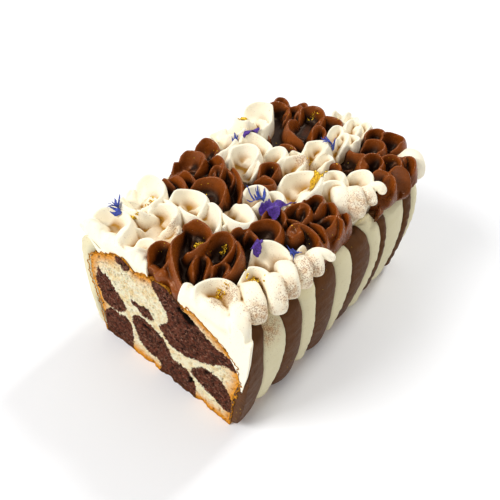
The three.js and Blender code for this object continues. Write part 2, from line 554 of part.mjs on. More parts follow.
function bandSolid() {
  // what the ruffles are cut clear of: the room that all the stripes take together
  const last = ICING_WALL.length - 1;
  const stations = [-PAST_CUT, ...pathStations(2, 3, 1).slice(1, -1), PATH + PAST_CUT];
  return toSolid(outward(loft(stations.map((s) => {
    const point = (out, z) => {
      const [x, y] = planPoint(s, out - HALF_WIDTH);
      return [x, y, z + leanRise(x, z)];
    };
    const outside = ICING_WALL.map(([half, height], k) => (
      point(half + RIB_DEPTH - CREASE_DEPTH + BAND_CLEAR, height + (k === last ? BAND_LIFT : 0))));
    const inside = ICING_WALL.map(([, , half, height]) => point(half - BAND_SINK, height - GAP));
    return [...outside, ...inside.reverse()];
  }))));
}

function stripeEdges() {
  // [middle, shoulder shift, foot shift] of every crease, all the way round
  const right = RIGHT_EDGES.map((edge) => [...edge]);
  const backStart = SIDE + CORNER + 4;
  const edges = [...right];
  for (let i = 0; i < BACK_STRIPES; i += 1) {
    const middle = backStart + ((PATH - 2 * backStart) * i) / (BACK_STRIPES - 1);
    edges.push([middle, 1.2 * Math.sin(2.3 * i), 1.5 * Math.cos(1.7 * i)]);
  }
  const left = right.slice(0, -1).reverse();
  left.forEach(([middle, top, foot], i) => {
    const wobble = i === left.length - 1 ? 0 : LEFT_EDGE_WOBBLE * Math.sin(2.1 * i + 0.6);
    edges.push([PATH - middle + wobble, -top, -foot]);
  });
  return edges;
}

function edgeCurve([middle, top, foot], shift) {
  return (t) => middle + shift + top * Math.max(0, (t - EDGE_MIDDLE) / (1 - EDGE_MIDDLE)) ** EDGE_BEND
    + foot * Math.max(0, (EDGE_MIDDLE - t) / EDGE_MIDDLE) ** EDGE_BEND;
}

function stripeSolids() {
  const edges = stripeEdges();
  const stripes = [];
  for (let i = 0; i < edges.length - 1; i += 1) {
    const turnsCorner = [SIDE + 1, PATH - SIDE - CORNER + 1].some((corner) => (
      edges[i + 1][0] > corner && edges[i][0] < corner + CORNER - 2));
    stripes.push(wallStripe({
      from: edgeCurve(edges[i], i === 0 ? 0 : GAP / 2),
      to: edgeCurve(edges[i + 1], i === edges.length - 2 ? 0 : -GAP / 2),
      foot: FOOT_MEAN + FOOT_SWING * Math.sin(2.4 * i + 0.5),
      outer: turnsCorner ? evenly(4) : evenly(3),
      inner: turnsCorner ? evenly(4) : evenly(1),
    }));
  }
  return stripes;
}

// ---------------------------------------------------------------- ruffles

function bedHeight(x, y) {
  const end = THREE.MathUtils.smoothstep(y, SIDE, LENGTH);
  return lookUp(BED_HEIGHT, Math.abs(x)) + leanRise(x, TOP_OF_ALL) * BED_LEAN - BED_END_DROP * end;
}

function bedSolid() {
  // the layer under the ruffles, out to the tops of the stripes
  const half = BED_HEIGHT.map(([x]) => x);
  const across = [...half.slice(1).reverse().map((x) => -x), ...half];
  const rows = [-PAST_CUT, SIDE, LENGTH - CORNER_RADIUS / 3, LENGTH];
  const narrowing = [1, 1, 0.95, 0.82];
  const rings = rows.map((y, k) => {
    const top = across.map((x) => [x * narrowing[k], y, bedHeight(x, y)]);
    const [left, right] = [across[0] * narrowing[k], across[across.length - 1] * narrowing[k]];
    return [...top, [right, y, BED_BOTTOM], [left, y, BED_BOTTOM]];
  });
  return toSolid(outward(loft(rings)));
}

function insetOutline(outline, inset) {
  // every edge moves inwards by the same amount; the outline runs anticlockwise
  const count = outline.length;
  const area = outline.reduce((sum, [x, y], i) => {
    const [x1, y1] = outline[(i + 1) % count];
    return sum + x * y1 - x1 * y;
  }, 0);
  const ring = area > 0 ? outline : [...outline].reverse();
  return ring.map((point, i) => {
    const before = ring[(i + count - 1) % count];
    const after = ring[(i + 1) % count];
    const d0 = new THREE.Vector2(point[0] - before[0], point[1] - before[1]).normalize();
    const d1 = new THREE.Vector2(after[0] - point[0], after[1] - point[1]).normalize();
    const n0 = new THREE.Vector2(-d0.y, d0.x);
    const n1 = new THREE.Vector2(-d1.y, d1.x);
    const bisector = n0.clone().add(n1);
    const scale = Math.min(2 / Math.max(bisector.lengthSq(), 1e-6), 1.6);
    return [point[0] + bisector.x * scale * inset, point[1] + bisector.y * scale * inset];
  });
}

function cellPrism(outline) {
  const shape = new THREE.Shape(insetOutline(outline, CELL_INSET).map(([x, y]) => new THREE.Vector2(x, y)));
  const bottom = CORNER_TONGUE[0][0];
  const prism = new THREE.ExtrudeGeometry(shape, { depth: TOP_OF_ALL - bottom, bevelEnabled: false });
  prism.translate(0, 0, bottom);
  return toSolid(prism);
}

function foldSection(centre, normal, floor, top, base, lip) {
  // five corners: thick root, full outside, thin lip
  const [x, y] = centre;
  const at = (offset, z) => [x + normal[0] * offset, y + normal[1] * offset, z];
  return [at(base * 0.5, floor), at(base * 0.44, mix(floor, top, 0.55)), at(lip / 2, top),
    at(-lip / 2, top), at(-base * 0.44, floor)];
}

const isMound = ([, , , across, , sweep], base) => across < base * MOUND_WIDTH && sweep > 180;

function moundSolid([x, y, along, across, turn, , top], base, lip) {
  // a fold closed so tightly that it is a blunt knob
  const [c, s] = [Math.cos(radians(turn)), Math.sin(radians(turn))];
  const floor = bedHeight(x, y) - FOLD_ROOT;
  const rings = [[base * 0.55, floor], [lip * 0.6, top]].map(([out, z]) => {
    const ring = [];
    for (let i = 0; i < MOUND_SIDES; i += 1) {
      const angle = (2 * Math.PI * i) / MOUND_SIDES;
      const [u, v] = [(along + out) * Math.cos(angle), (across + out) * Math.sin(angle)];
      ring.push([x + c * u - s * v, y + s * u + c * v, z]);
    }
    return ring;
  });
  return toSolid(outward(loft(rings)));
}

function foldSolid([x, y, along, across, turn, sweep, top], base, lip) {
  const steps = Math.max(2, Math.round(sweep / FOLD_STEP));
  const [c, s] = [Math.cos(radians(turn)), Math.sin(radians(turn))];
  const rings = [];
  for (let i = 0; i <= steps; i += 1) {
    const angle = radians(sweep * (i / steps - 0.5));
    const [u, v] = [along * Math.cos(angle), across * Math.sin(angle)];
    const [nu, nv] = [Math.cos(angle) / along, Math.sin(angle) / across];
    const size = Math.hypot(nu, nv);
    const centre = [x + c * u - s * v, y + s * u + c * v];
    const normal = [(c * nu - s * nv) / size, (s * nu + c * nv) / size];
    const end = i === 0 || i === steps ? FOLD_END_DROP : 0;
    const wave = FOLD_WAVE * Math.sin(3.1 * i + x);
    const floor = bedHeight(centre[0], centre[1]) - FOLD_ROOT;
    rings.push(foldSection(centre, normal, floor, top - end + wave, base, lip));
  }
  return toSolid(outward(loft(rings)));
}

function wallFold([[x0, y0], [x1, y1], top], base) {
  // a fat straight fold, as where the knife went through
  const length = Math.hypot(x1 - x0, y1 - y0);
  const normal = [-(y1 - y0) / length, (x1 - x0) / length];
  const rings = [];
  for (let i = 0; i <= WALL_STEPS; i += 1) {
    const t = i / WALL_STEPS;
    const centre = [mix(x0, x1, t), mix(y0, y1, t)];
    const floor = bedHeight(centre[0], centre[1]) - FOLD_ROOT;
    const lip = top - FOLD_END_DROP * Math.abs(t - 0.5);
    rings.push(foldSection(centre, normal, floor, lip, base * 1.3, base * 0.7));
  }
  return toSolid(outward(loft(rings)));
}

function fingerSolid([[x0, y0], [x1, y1], top, tip, radius]) {
  // a fat pleat that runs out over the edge and hangs down it
  const spine = [[0, top - 4, 0.8], [0.35, top - radius * 0.9, 1], [0.78, top - radius - 0.6, 1],
    [1, mix(top, tip, 0.62), 1], [1.03, tip + radius * 0.5, 0.72], [1.02, tip, 0.3]];
  const down = [0.2, 0, -0.35, -0.8, -1, -1];
  const heading = new THREE.Vector3(x1 - x0, y1 - y0, 0).normalize();
  const side = new THREE.Vector3(-heading.y, heading.x, 0);
  const rings = spine.map(([t, z, size], k) => {
    const tangent = heading.clone().multiplyScalar(1 - Math.abs(down[k]));
    tangent.z += down[k];
    const lift = new THREE.Vector3().crossVectors(tangent.normalize(), side).negate();
    const ring = [];
    for (let i = 0; i < FINGER_SIDES; i += 1) {
      const angle = (2 * Math.PI * i) / FINGER_SIDES;
      const p = new THREE.Vector3(mix(x0, x1, t), mix(y0, y1, t), z);
      p.addScaledVector(side, Math.cos(angle) * radius * size);
      p.addScaledVector(lift, Math.sin(angle) * radius * size);
      ring.push(p.toArray());
    }
    return ring;
  });
  return toSolid(outward(loft(rings)));
}

function tongueSolid(grow) {
  // rounded behind, flat at the cut
  const rings = CORNER_TONGUE.map(([height, inner, outer, depth], k) => {
    const z = height + leanRise(outer, height) + (k === 0 ? -grow : 0);
    const [left, right, back] = [inner - grow, outer + grow, depth + grow];
    const front = grow > 0 ? -PAST_CUT : 0;
    const middle = mix(inner, outer, 0.6);
    const plan = [[left, front], [right, front], [right, back * 0.5], [middle, back], [left, back * 0.8]];
    return plan.map(([x, y]) => [x, y, z]);
  });
  return toSolid(outward(loft(rings)));
}

function ruffleSolid(ruffle, bed, spongeClear, bandClear) {
  const { folds, walls, fingers = [], tongue = false, base, lip, cell } = ruffle;
  const pieces = [
    ...folds.map((fold) => (isMound(fold, base) ? moundSolid : foldSolid)(fold, base, lip)),
    ...walls.map((wall) => wallFold(wall, base)),
    ...fingers.map((finger) => fingerSolid(finger)),
  ];
  let solid = bed;
  for (const piece of pieces) solid = solid.add(piece);
  solid = solid.intersect(cellPrism(cell)).subtract(bandClear);
  if (tongue) solid = solid.add(tongueSolid(0));
  return largestBody(solid.subtract(spongeClear));
}

// ---------------------------------------------------------------- petals, gold leaf and flakes

function bladeSolid([[x0, y0], [x1, y1], widths, rise], height, thickness) {
  // a thin blade from root to tip, with a wave along it and both faces split alike
  const steps = widths.length - 1;
  const heading = new THREE.Vector2(x1 - x0, y1 - y0).normalize();
  const rings = widths.map((width, i) => {
    const t = i / steps;
    const [x, y] = [mix(x0, x1, t), mix(y0, y1, t)];
    const wave = i > 0 ? PETAL_WAVE : 0;
    const z = height + rise * t * t + wave * Math.sin(2.6 * i + x0);
    const tip = wave * Math.cos(1.9 * i + y0);
    const left = [x - heading.y * width * 0.5, y + heading.x * width * 0.5, z + tip];
    const right = [x + heading.y * width * 0.5, y - heading.x * width * 0.5, z - tip];
    const up = ([px, py, pz]) => [px, py, pz + thickness];
    return [left, right, up(right), up(left)];
  });
  return toSolid(outward(loft(rings)));
}

function toppingSolid(lobes, height) {
  const [first, ...others] = lobes.map((lobe) => bladeSolid(lobe, height, PETAL_THICKNESS));
  return others.reduce((joined, blade) => joined.add(blade), first);
}

const meet = (one, other) => one.intersect(other).getMesh().triVerts.length > 0;
const touches = (solid, others) => others.some((other) => meet(solid, other));

function letDown(shapeAt, others, clearance) {
  // the lowest height at which the shape, coming down from above, still touches nothing
  let height = TOP_OF_ALL;
  while (height > LOWEST_REST && !touches(shapeAt(height - LET_DOWN - clearance), others)) height -= LET_DOWN;
  return shapeAt(height);
}

function pressFlake(geometry, [x, y, length, width, turn]) {
  const [c, s] = [Math.cos(radians(turn)) * length * 0.5, Math.sin(radians(turn)) * length * 0.5];
  const lobe = [[x - c, y - s], [x + c, y + s], [width * 0.6, width, width * 0.7], 0.3];
  const icing = toSolid(geometry);
  let height = TOP_OF_ALL;
  const flakeAt = (level) => bladeSolid(lobe, level, FLAKE_THICKNESS);
  while (height > LOWEST_REST && !touches(flakeAt(height), [icing])) height -= LET_DOWN;
  return largestBody(icing.add(flakeAt(height - FLAKE_SINK)));
}

// ---------------------------------------------------------------- the cake

const group = new THREE.Group();
const cake = new THREE.Group();
cake.position.set(0, -LENGTH / 2, 0);
group.add(cake);

function addPiece(name, geometry, colour, roughness) {
  const material = new THREE.MeshStandardMaterial({ color: colour, roughness, metalness: 0 });
  const mesh = new THREE.Mesh(geometry, material);
  mesh.name = name;
  cake.add(mesh);
  return mesh;
}

const spongeClear = toSolid(loafBody(SPONGE_WALL, SPONGE_DOME, GAP, true));
const bandClear = bandSolid();

addPiece('sponge', toGeometry(spongeSolid()), SPONGE, 0.9);

stripeSolids().forEach((solid, i) => {
  const [flavour, colour] = i % 2 === 0 ? ['chocolate', CHOCOLATE] : ['cream', CREAM];
  const number = String(i + 1).padStart(2, '0');
  const geometry = i === 0 ? largestBody(solid.subtract(tongueSolid(GAP))) : toGeometry(solid);
  addPiece(`${flavour}_stripe_${number}`, geometry, colour, 0.5);
});

const bed = bedSolid();
const ruffles = RUFFLES.map((ruffle) => {
  let geometry = ruffleSolid(ruffle, bed, spongeClear, bandClear);
  for (const flake of FLAKES[ruffle.name] || []) geometry = pressFlake(geometry, flake);
  addPiece(ruffle.name, geometry, ruffle.colour, 0.45);
  return toSolid(geometry);
});

for (const topping of TOPPINGS) {
  const solid = letDown((height) => toppingSolid(topping.lobes, height), ruffles, GAP);
  addPiece(topping.name, toGeometry(solid), topping.colour, topping.colour === GOLD ? 0.3 : 0.7);
  ruffles.push(solid);
}

export default group;
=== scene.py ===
"""Looks of the marble loaf cake: crumb, piped buttercream, petals, gold leaf and the stage round it."""

import json
import math

import bmesh
import bpy
import numpy as np
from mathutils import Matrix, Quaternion, Vector, noise
from mathutils.bvhtree import BVHTree

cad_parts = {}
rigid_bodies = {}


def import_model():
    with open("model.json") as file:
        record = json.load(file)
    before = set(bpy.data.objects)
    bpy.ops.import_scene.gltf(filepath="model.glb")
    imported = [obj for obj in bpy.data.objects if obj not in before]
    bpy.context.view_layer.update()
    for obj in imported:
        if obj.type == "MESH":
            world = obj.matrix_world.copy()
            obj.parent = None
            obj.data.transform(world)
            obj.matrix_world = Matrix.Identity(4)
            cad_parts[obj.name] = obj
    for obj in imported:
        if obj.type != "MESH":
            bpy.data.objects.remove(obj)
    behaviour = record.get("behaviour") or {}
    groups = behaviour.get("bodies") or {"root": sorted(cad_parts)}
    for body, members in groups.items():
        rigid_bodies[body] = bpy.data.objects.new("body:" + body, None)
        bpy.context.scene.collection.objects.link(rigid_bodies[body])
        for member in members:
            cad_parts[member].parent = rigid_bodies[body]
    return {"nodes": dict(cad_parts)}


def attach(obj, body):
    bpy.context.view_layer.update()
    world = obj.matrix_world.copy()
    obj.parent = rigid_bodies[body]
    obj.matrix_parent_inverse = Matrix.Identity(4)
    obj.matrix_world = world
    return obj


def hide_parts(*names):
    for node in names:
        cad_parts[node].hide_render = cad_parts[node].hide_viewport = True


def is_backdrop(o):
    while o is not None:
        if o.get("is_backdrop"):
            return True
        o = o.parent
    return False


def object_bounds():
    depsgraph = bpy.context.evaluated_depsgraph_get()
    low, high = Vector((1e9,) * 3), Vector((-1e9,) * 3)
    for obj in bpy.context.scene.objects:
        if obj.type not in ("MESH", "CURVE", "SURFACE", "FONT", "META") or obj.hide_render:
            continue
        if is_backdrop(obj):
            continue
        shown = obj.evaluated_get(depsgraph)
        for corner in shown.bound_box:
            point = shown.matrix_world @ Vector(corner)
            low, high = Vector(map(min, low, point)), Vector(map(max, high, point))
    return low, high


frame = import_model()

bl_info = {
    "name": "Marble loaf cake",
    "version": (1, 0, 0),
    "blender": (4, 5, 0),
    "location": "View3D > Sidebar > Cake",
    "description": "Rebuilds a marble loaf cake with piped buttercream over its solid model",
    "category": "Object",
}

MM = 0.001

# ---------------------------------------------------------------- the loaf, in millimetres
# x runs across, y back from the cut face and z up. The solid model is centred along y.

LENGTH = 157.0
HALF_WIDTH = 48.0
CORNER_RADIUS = 14.0
LOAF_TILT = 0.055
LEAN_START, LEAN_FULL = 20, 62
DOME_SPINE = 2.5
SPINE_REACH = 0.7
# the dome shortens towards its crown this far in from the shoulder, and slopes down to the back over
# this length
SPINE_SETTLE = 13
BACK_SLOPE = 25
BARREL = 1.4
SIDE = LENGTH - CORNER_RADIUS
CORNER = CORNER_RADIUS * math.pi / 2
BACK = 2 * (HALF_WIDTH - CORNER_RADIUS)
PATH = 2 * SIDE + 2 * CORNER + BACK

SPONGE_WALL = [(45.2, 0), (46.6, 26), (50.4, 43), (47.5, 56.5)]
SPONGE_DOME = [(42, 61.5), (34.5, 66), (26, 69.6), (14, 71.7), (2.5, 72.5)]
CRUST_KNOBS = [(-26, 2.6, 6), (-13, -2.4, 4), (4, 1.6, 5), (15, -1.6, 4)]
KNOB_REACH = 26.0
# how far the crust sticks out in crumbs along the cut, and how far the icing lies behind the cut
TEAR = 1.5
FOOT_CRUMBLED = 1.7
ICING_SET_BACK = 0.35
KNOB_START, KNOB_FULL = 64, 69
# torn holes in the cut face: across, height, radius
HOLES = [(14.3, 63.8, 2.6), (18.8, 61.6, 3.6), (-11.9, 30.3, 2.1), (-9.4, 29.4, 1.7), (29.2, 29.6, 1.4),
         (18.8, 12.7, 2.1), (21.9, 44, 1.3), (-35.7, 40.1, 1.2), (34.3, 46.3, 1.1)]

# half width and height outside, then inside, from the foot of a stripe over the shoulder
ICING_WALL = [(48.6, 4, 45.4, 4), (52.3, 26, 46.6, 26), (53.2, 43, 50.4, 43), (52.2, 57, 47.5, 56.5),
              (49.8, 66, 42, 61.5), (44.6, 70.6, 38.2, 63.8)]
RIB_DEPTH = 2.3
# the stripe at the right back corner swells out further, and the feet are drawn in towards the cut
CORNER_STRIPE, CORNER_SWELL = 11, 3.2
FOOT_DRAWN = 2.2
# the furthest point of the icing back from the cut face
REAR = 164.1
CREASE_DEPTH = 1.1
RIGHT_EDGES = [(0, 0, 0), (14.5, 4, 1), (30, -3, -1.5), (42.5, -1, 4.5), (53.5, 2, 3), (70.5, 0, 6),
               (85.5, -3, -4), (104, -7, -6), (114, -5, -3), (119, -2, 4), (139.5, -1, 2), (147, 0, 0)]
BACK_STRIPES = 8
LEFT_EDGE_WOBBLE = 2.2

BED_HEIGHT = [(0, 77), (32, 75.2), (42, 73.4), (48, 71)]
BED_LEAN = 0.8
BED_END_DROP = 3.0
WIDEST_SWEEP = 255

# smooth tongue of icing down the right corner: height, inner and outer half width, depth
CORNER_TONGUE = [(36, 50.8, 51.6, 0.5), (44, 50, 52.4, 1.8), (52, 48, 53.6, 3.4), (62, 42, 54.4, 5.0),
                 (76, 38, 54.6, 6.4)]

# Patches of chocolate sponge on the cut face, as smooth curves through these points: across, height
MARBLING = {
    "crown": ((-28, 69), (-26, 72), (-22, 73), (-18, 69), (-21, 65), (-26, 66)),
    "left": ((-43, 53), (-41, 51), (-36, 50), (-33, 45), (-29, 41), (-25, 34), (-30, 27), (-36, 25),
             (-43, 26), (-45, 34), (-47, 40), (-45, 47)),
    "left_foot": ((-46, 0), (-45, 12), (-44, 18), (-38, 24), (-32, 24), (-27, 26), (-23, 22), (-23, 10),
                  (-26, -2), (-36, -3)),
    "streak": ((-21, 43), (-18, 46), (-14, 46), (-8, 47), (-5, 42), (-6, 40), (-12, 38), (-17, 41)),
    "middle": ((-22, 26), (-20, 33), (-15, 36), (-7, 35), (0, 32), (5, 25), (7, 20), (16, 20), (20, 15),
               (22, 8), (20, -4), (10, -5), (-3, -2), (-3, 5), (-6, 9), (-11, 8), (-17, 12), (-20, 21)),
    "right_shoulder": ((-3, 72), (3, 74), (12, 74), (15, 69), (17, 65), (22, 64), (28, 60), (33, 57),
                       (41, 55), (47, 57), (50, 53), (48, 48), (40, 46), (33, 40), (27, 36), (18, 32),
                       (10, 30), (5, 31), (0, 37), (-1, 41), (4, 47), (5, 54), (1, 61), (-3, 67)),
    "right_foot": ((19, 22), (22, 27), (28, 33), (33, 33), (38, 33), (44, 26), (46, 18), (46, 11), (40, 9),
                   (35, 12), (27, 15), (20, 19)),
}

# The fields of piped icing. A cell is the outline of a field in plan, shared with its neighbours.
# Every fold is an arc of an ellipse: across, back, radius along its turn, radius square to it,
# turn and sweep in degrees, height of its lip. A wall is a smooth front: its ends and its height.
# A finger: root, tip, height, height of its end, radius.
RUFFLES = {
    "cream_ruffle_front_left": {
        "cell": ((-70, 0), (-6, 0), (-9, 6), (-10, 14), (-6, 18), (-9, 30), (-5, 34), (3, 32.5),
            (8.5, 30.5), (6, 36), (1, 42), (-1, 46), (-9, 47.5), (-21, 49.5), (-26, 44), (-27, 36.5),
            (-34, 41), (-44, 41.5), (-70, 42)),
        "folds": ((-37.5, 5, 11, 11, 75, 210, 83), (-37, 29.5, 9.5, 11, -88, 130, 84),
            (-40, 31, 10, 9.5, 60, 200, 86), (-22, 26.5, 6.5, 6.5, 90, 330, 84),
            (-23.5, 14.5, 20, 22, 97, 48, 86), (-20.5, 8.5, 8, 7.5, -115, 230, 83),
            (-12, 5, 5.5, 6, 90, 190, 83), (-22, 16, 15, 15, 30, 66, 84), (-18, 40, 8, 8, 100, 210, 86),
            (-6.5, 33.5, 11, 11.5, 50, 150, 86), (-14, 43, 7.5, 9, -90, 130, 84)),
        "walls": (((-47.5, 2.5), (-9, 2.5), 81),),
    },
    "chocolate_ruffle_front": {
        "cell": ((-6, 0), (14, 0), (15, 4), (21, 8), (22, 13), (26, 16.5), (33, 16), (33, 25), (28, 31),
            (23, 34), (19, 36.5), (12, 36), (8.5, 30.5), (3, 32.5), (-5, 34), (-9, 30), (-6, 18), (-10, 14),
            (-9, 6)),
        "folds": ((-4.5, 8, 6.2, 4.2, 110, 310, 84), (25, 34.5, 33, 33, 220, 62, 86),
            (-1, 23.5, 8.5, 8, 50, 200, 87), (13.5, 15.5, 5.5, 2.5, 120, 300, 83),
            (14, 26, 7.2, 4.4, 95, 260, 87), (13, 21.5, 12.2, 13, 40, 120, 87),
            (21.5, 19, 3.5, 2.2, 100, 280, 83)),
        "walls": (((-4.5, 2), (13, 2), 83),),
    },
    "cream_ruffle_front_right": {
        "cell": ((14, 0), (70, 0), (70, 61.5), (49, 61), (44, 57.5), (41, 52.5), (38, 47.5), (32, 47),
            (27, 42.5), (26.5, 36), (28, 31), (33, 25), (33, 16), (26, 16.5), (22, 13), (21, 8), (15, 4)),
        "folds": ((30, 5.5, 9, 8, 110, 230, 84), (38, 22, 6.5, 5, 120, 180, 86),
            (35, 37.5, 7, 8.5, 110, 200, 86), (48, 50.5, 6, 5.5, 110, 170, 86)),
        "walls": (((17, 2.5), (50, 2.5), 82),),
        "fingers": (((38, 11), (47.5, 3.2), 85, 66, 4.3), ((36, 21), (47.5, 12.8), 87, 74.5, 4.9),
            ((40, 31), (51, 22.5), 87.5, 74.5, 4.7), ((40, 40), (50.2, 33), 88, 74.5, 4.3),
            ((44, 48.5), (51.6, 41.2), 87, 75, 4), ((46, 55), (52.3, 49.5), 87, 76.5, 3.5),
            ((45, 52.4), (55, 57.2), 87.6, 84, 2.2)),
        "tongue": True,
    },
    "chocolate_ruffle_middle_right": {
        "cell": ((12, 36), (19, 36.5), (23, 34), (28, 31), (26.5, 36), (27, 42.5), (32, 47), (38, 47.5),
            (41, 52.5), (44, 57.5), (49, 61), (70, 61.5), (70, 86), (50, 86), (45, 83.5), (35, 84.5),
            (27, 84.5), (26, 73.5), (22, 73.5), (20, 66.5), (17, 63.5), (15.5, 57), (16, 52), (15, 46),
            (11, 41)),
        "folds": ((18, 40, 4.5, 5.5, 110, 220, 84), (23, 46.5, 7.5, 6, 85, 240, 87),
            (29.5, 58.5, 5, 4.6, 60, 320, 85), (39, 56, 5.8, 6.5, 80, 230, 87),
            (21, 58, 5, 3.8, 110, 240, 86), (27, 67, 6, 4, 85, 250, 87), (29, 77, 6.4, 3, 95, 270, 88),
            (33, 73, 9.5, 8.5, 45, 120, 88), (43.5, 70, 6.5, 6.5, 45, 220, 86),
            (37, 59, 8, 11, 90, 120, 85), (43, 77.5, 5, 6, 35, 140, 86)),
    },
    "cream_ruffle_centre": {
        "cell": ((-1, 46), (1, 42), (6, 36), (8.5, 30.5), (12, 36), (11, 41), (15, 46), (16, 52),
            (15.5, 57), (17, 63.5), (20, 66.5), (22, 73.5), (13, 75), (7, 76), (4, 74), (-1, 73), (-6, 70),
            (-4, 66), (-2, 60.5), (-3, 58), (-8, 54.5)),
        "folds": ((3.8, 50.5, 10, 5.6, -15, 330, 86), (8.5, 40, 5.5, 2, 95, 280, 83),
            (3, 64.5, 6, 4.6, 70, 320, 86), (11.5, 69, 4.5, 4, 90, 250, 85),
            (17.5, 69, 3.6, 2.4, 60, 260, 84)),
    },
    "chocolate_ruffle_middle_left": {
        "cell": ((-70, 42), (-44, 41.5), (-34, 41), (-27, 36.5), (-26, 44), (-21, 49.5), (-9, 47.5),
            (-1, 46), (-8, 54.5), (-3, 58), (-2, 60.5), (-4, 66), (-6, 70), (-1, 73), (4, 74), (5, 80),
            (5, 92), (0, 92), (-5, 95), (-9, 93), (-10, 80), (-17, 78), (-27, 76), (-35, 76), (-37, 84),
            (-36, 87.5), (-70, 88)),
        "folds": ((-38, 43.5, 3, 7, 100, 150, 82), (-35, 40, 10.5, 11, 75, 110, 84),
            (-41, 65.5, 6, 7, 95, 220, 85), (-33, 51, 6.5, 7, 85, 130, 83), (-42, 80, 5, 5.5, 100, 230, 84),
            (-17, 52, 8.2, 8.5, 95, 190, 86), (-10, 78, 17, 17, 212, 44, 85), (-34, 41, 37, 37, 47, 42, 87),
            (-30, 66, 8, 9, 60, 130, 86), (-1.5, 77, 5.4, 3.4, 20, 320, 85),
            (-5, 87.5, 5, 3.4, 100, 290, 85), (-20, 67, 5, 6, 100, 200, 84)),
    },
    "cream_ruffle_middle_right": {
        "cell": ((7, 76), (13, 75), (22, 73.5), (26, 73.5), (27, 84.5), (35, 84.5), (45, 83.5), (50, 86),
            (70, 86), (70, 108), (50, 108), (47, 115.5), (41, 113.5), (37, 119), (31, 117.5), (27, 112),
            (21, 109), (15, 108), (11, 108), (8, 100), (5, 92), (5, 80), (4, 74)),
        "folds": ((14.5, 87, 11, 8, 80, 330, 86), (22, 83.5, 6, 2, 95, 260, 82),
            (30.5, 94, 6, 5, 90, 300, 86), (35, 110.5, 5.5, 5, 80, 230, 86),
            (25.5, 101.5, 5, 3.6, 110, 240, 87)),
        "fingers": (((30, 100), (37.3, 92.2), 87, 76, 4.8), ((35, 105), (44.3, 95.6), 87.5, 75.5, 4.8),
            ((39, 109), (46.8, 104.6), 86.5, 79, 3.3), ((41.8, 112), (48, 113.4), 87.5, 83, 2.4)),
    },
    "cream_ruffle_left": {
        "cell": ((-70, 88), (-36, 87.5), (-37, 84), (-35, 76), (-27, 76), (-17, 78), (-10, 80), (-9, 93),
            (-5, 95), (0, 92), (5, 92), (8, 100), (6, 107), (3, 111.5), (-3, 113.5), (-8, 107), (-16, 104),
            (-27, 108), (-26, 113), (-31, 122), (-38, 131.5), (-45, 134), (-70, 134)),
        "folds": ((-47.5, 95.5, 5.8, 4.2, 170, 320, 83), (-40.5, 117, 13.5, 10.5, 80, 250, 86),
            (-45.5, 117.5, 5.5, 5.5, -95, 170, 85), (-40, 111, 10.5, 10.5, 42, 80, 85),
            (-37, 88, 4.5, 7, 0, 160, 85), (-22, 87, 7, 6.6, 100, 230, 86), (-18.5, 82, 8, 8, 50, 110, 84),
            (-24, 99.5, 6, 8, 95, 210, 85), (-10, 98, 6, 4, 80, 250, 85), (1.5, 99, 6.5, 4.6, 80, 260, 85),
            (-2, 108.5, 2.6, 2.6, 90, 320, 83), (-43, 104, 5, 5, -20, 180, 83)),
    },
    "cream_ruffle_back_centre": {
        "cell": ((-3, 113.5), (3, 111.5), (6, 107), (8, 100), (11, 108), (14, 109), (14, 116), (17, 118),
            (13, 127), (14, 133.5), (17, 137), (15.5, 143), (15, 152), (17, 156), (17, 180), (-11, 180),
            (-10.5, 153), (-3, 151), (3, 144.5), (1, 138), (2, 128), (-2, 124)),
        "folds": ((3, 118, 6, 4.6, 85, 270, 86), (11, 113, 5, 2.4, 70, 260, 84),
            (4, 134, 7, 2.2, 95, 280, 86), (10, 130, 8, 2.2, 100, 280, 85),
            (13.5, 137, 3, 2.4, 60, 280, 86), (8, 147, 8, 2.6, 105, 280, 86),
            (2.5, 153, 6, 2.6, 110, 280, 86), (12.5, 149, 5, 2.2, 90, 260, 86),
            (-6, 156, 4, 3.6, 90, 220, 84), (12, 158, 2.6, 3, 90, 220, 85)),
    },
    "chocolate_ruffle_back_left": {
        "cell": ((-70, 134), (-45, 134), (-38, 131.5), (-31, 122), (-26, 113), (-27, 108), (-16, 104),
            (-8, 107), (-3, 113.5), (-2, 124), (2, 128), (1, 138), (3, 144.5), (-3, 151), (-10.5, 153),
            (-11, 180), (-70, 180)),
        "folds": ((-35.4, 134, 8.5, 5.8, 100, 210, 83), (-18.6, 142, 8.2, 7.6, 95, 230, 83.5),
            (-6, 142.4, 7, 6.6, 75, 200, 84), (-11, 131, 10.5, 10.5, 225, 120, 86),
            (-20, 129, 15, 15, 222, 56, 84), (-11, 110, 4, 6, 100, 160, 81), (-27, 137, 8, 4, 110, 150, 84),
            (-4, 131, 5, 2.4, 110, 260, 85), (-41, 146, 5, 3.4, 125, 300, 80),
            (-31, 150.5, 5, 3, 100, 280, 79), (-20, 154, 4, 2.6, 80, 260, 79)),
    },
    "chocolate_ruffle_back_right": {
        "cell": ((14, 109), (11, 108), (15, 108), (21, 109), (27, 112), (31, 117.5), (37, 119), (41, 113.5),
            (47, 115.5), (50, 108), (70, 108), (70, 143), (54, 143), (43.4, 147.6), (38.6, 152.4),
            (34, 159), (34, 180), (17, 180), (17, 156), (15, 152), (15.5, 143), (17, 137), (14, 133.5),
            (13, 127), (17, 118), (14, 116)),
        "folds": ((21, 149, 5, 3.2, 95, 290, 86), (30.5, 150.5, 6, 4.6, 80, 310, 87),
            (35, 138.5, 8, 7, 20, 60, 86), (25.5, 139.5, 4.6, 4.4, 60, 330, 86),
            (17, 116, 15, 13, 55, 80, 86), (33, 126, 7.4, 3.6, 95, 260, 86),
            (40, 133, 4.8, 3.8, 80, 290, 86), (45.6, 138, 5, 4.2, 60, 290, 86),
            (50.5, 127, 7, 4.8, 60, 270, 87), (44, 118, 6.5, 6, 90, 170, 85),
            (18, 112.5, 3, 2.6, 60, 300, 82)),
    },
    "cream_ruffle_back_corner": {
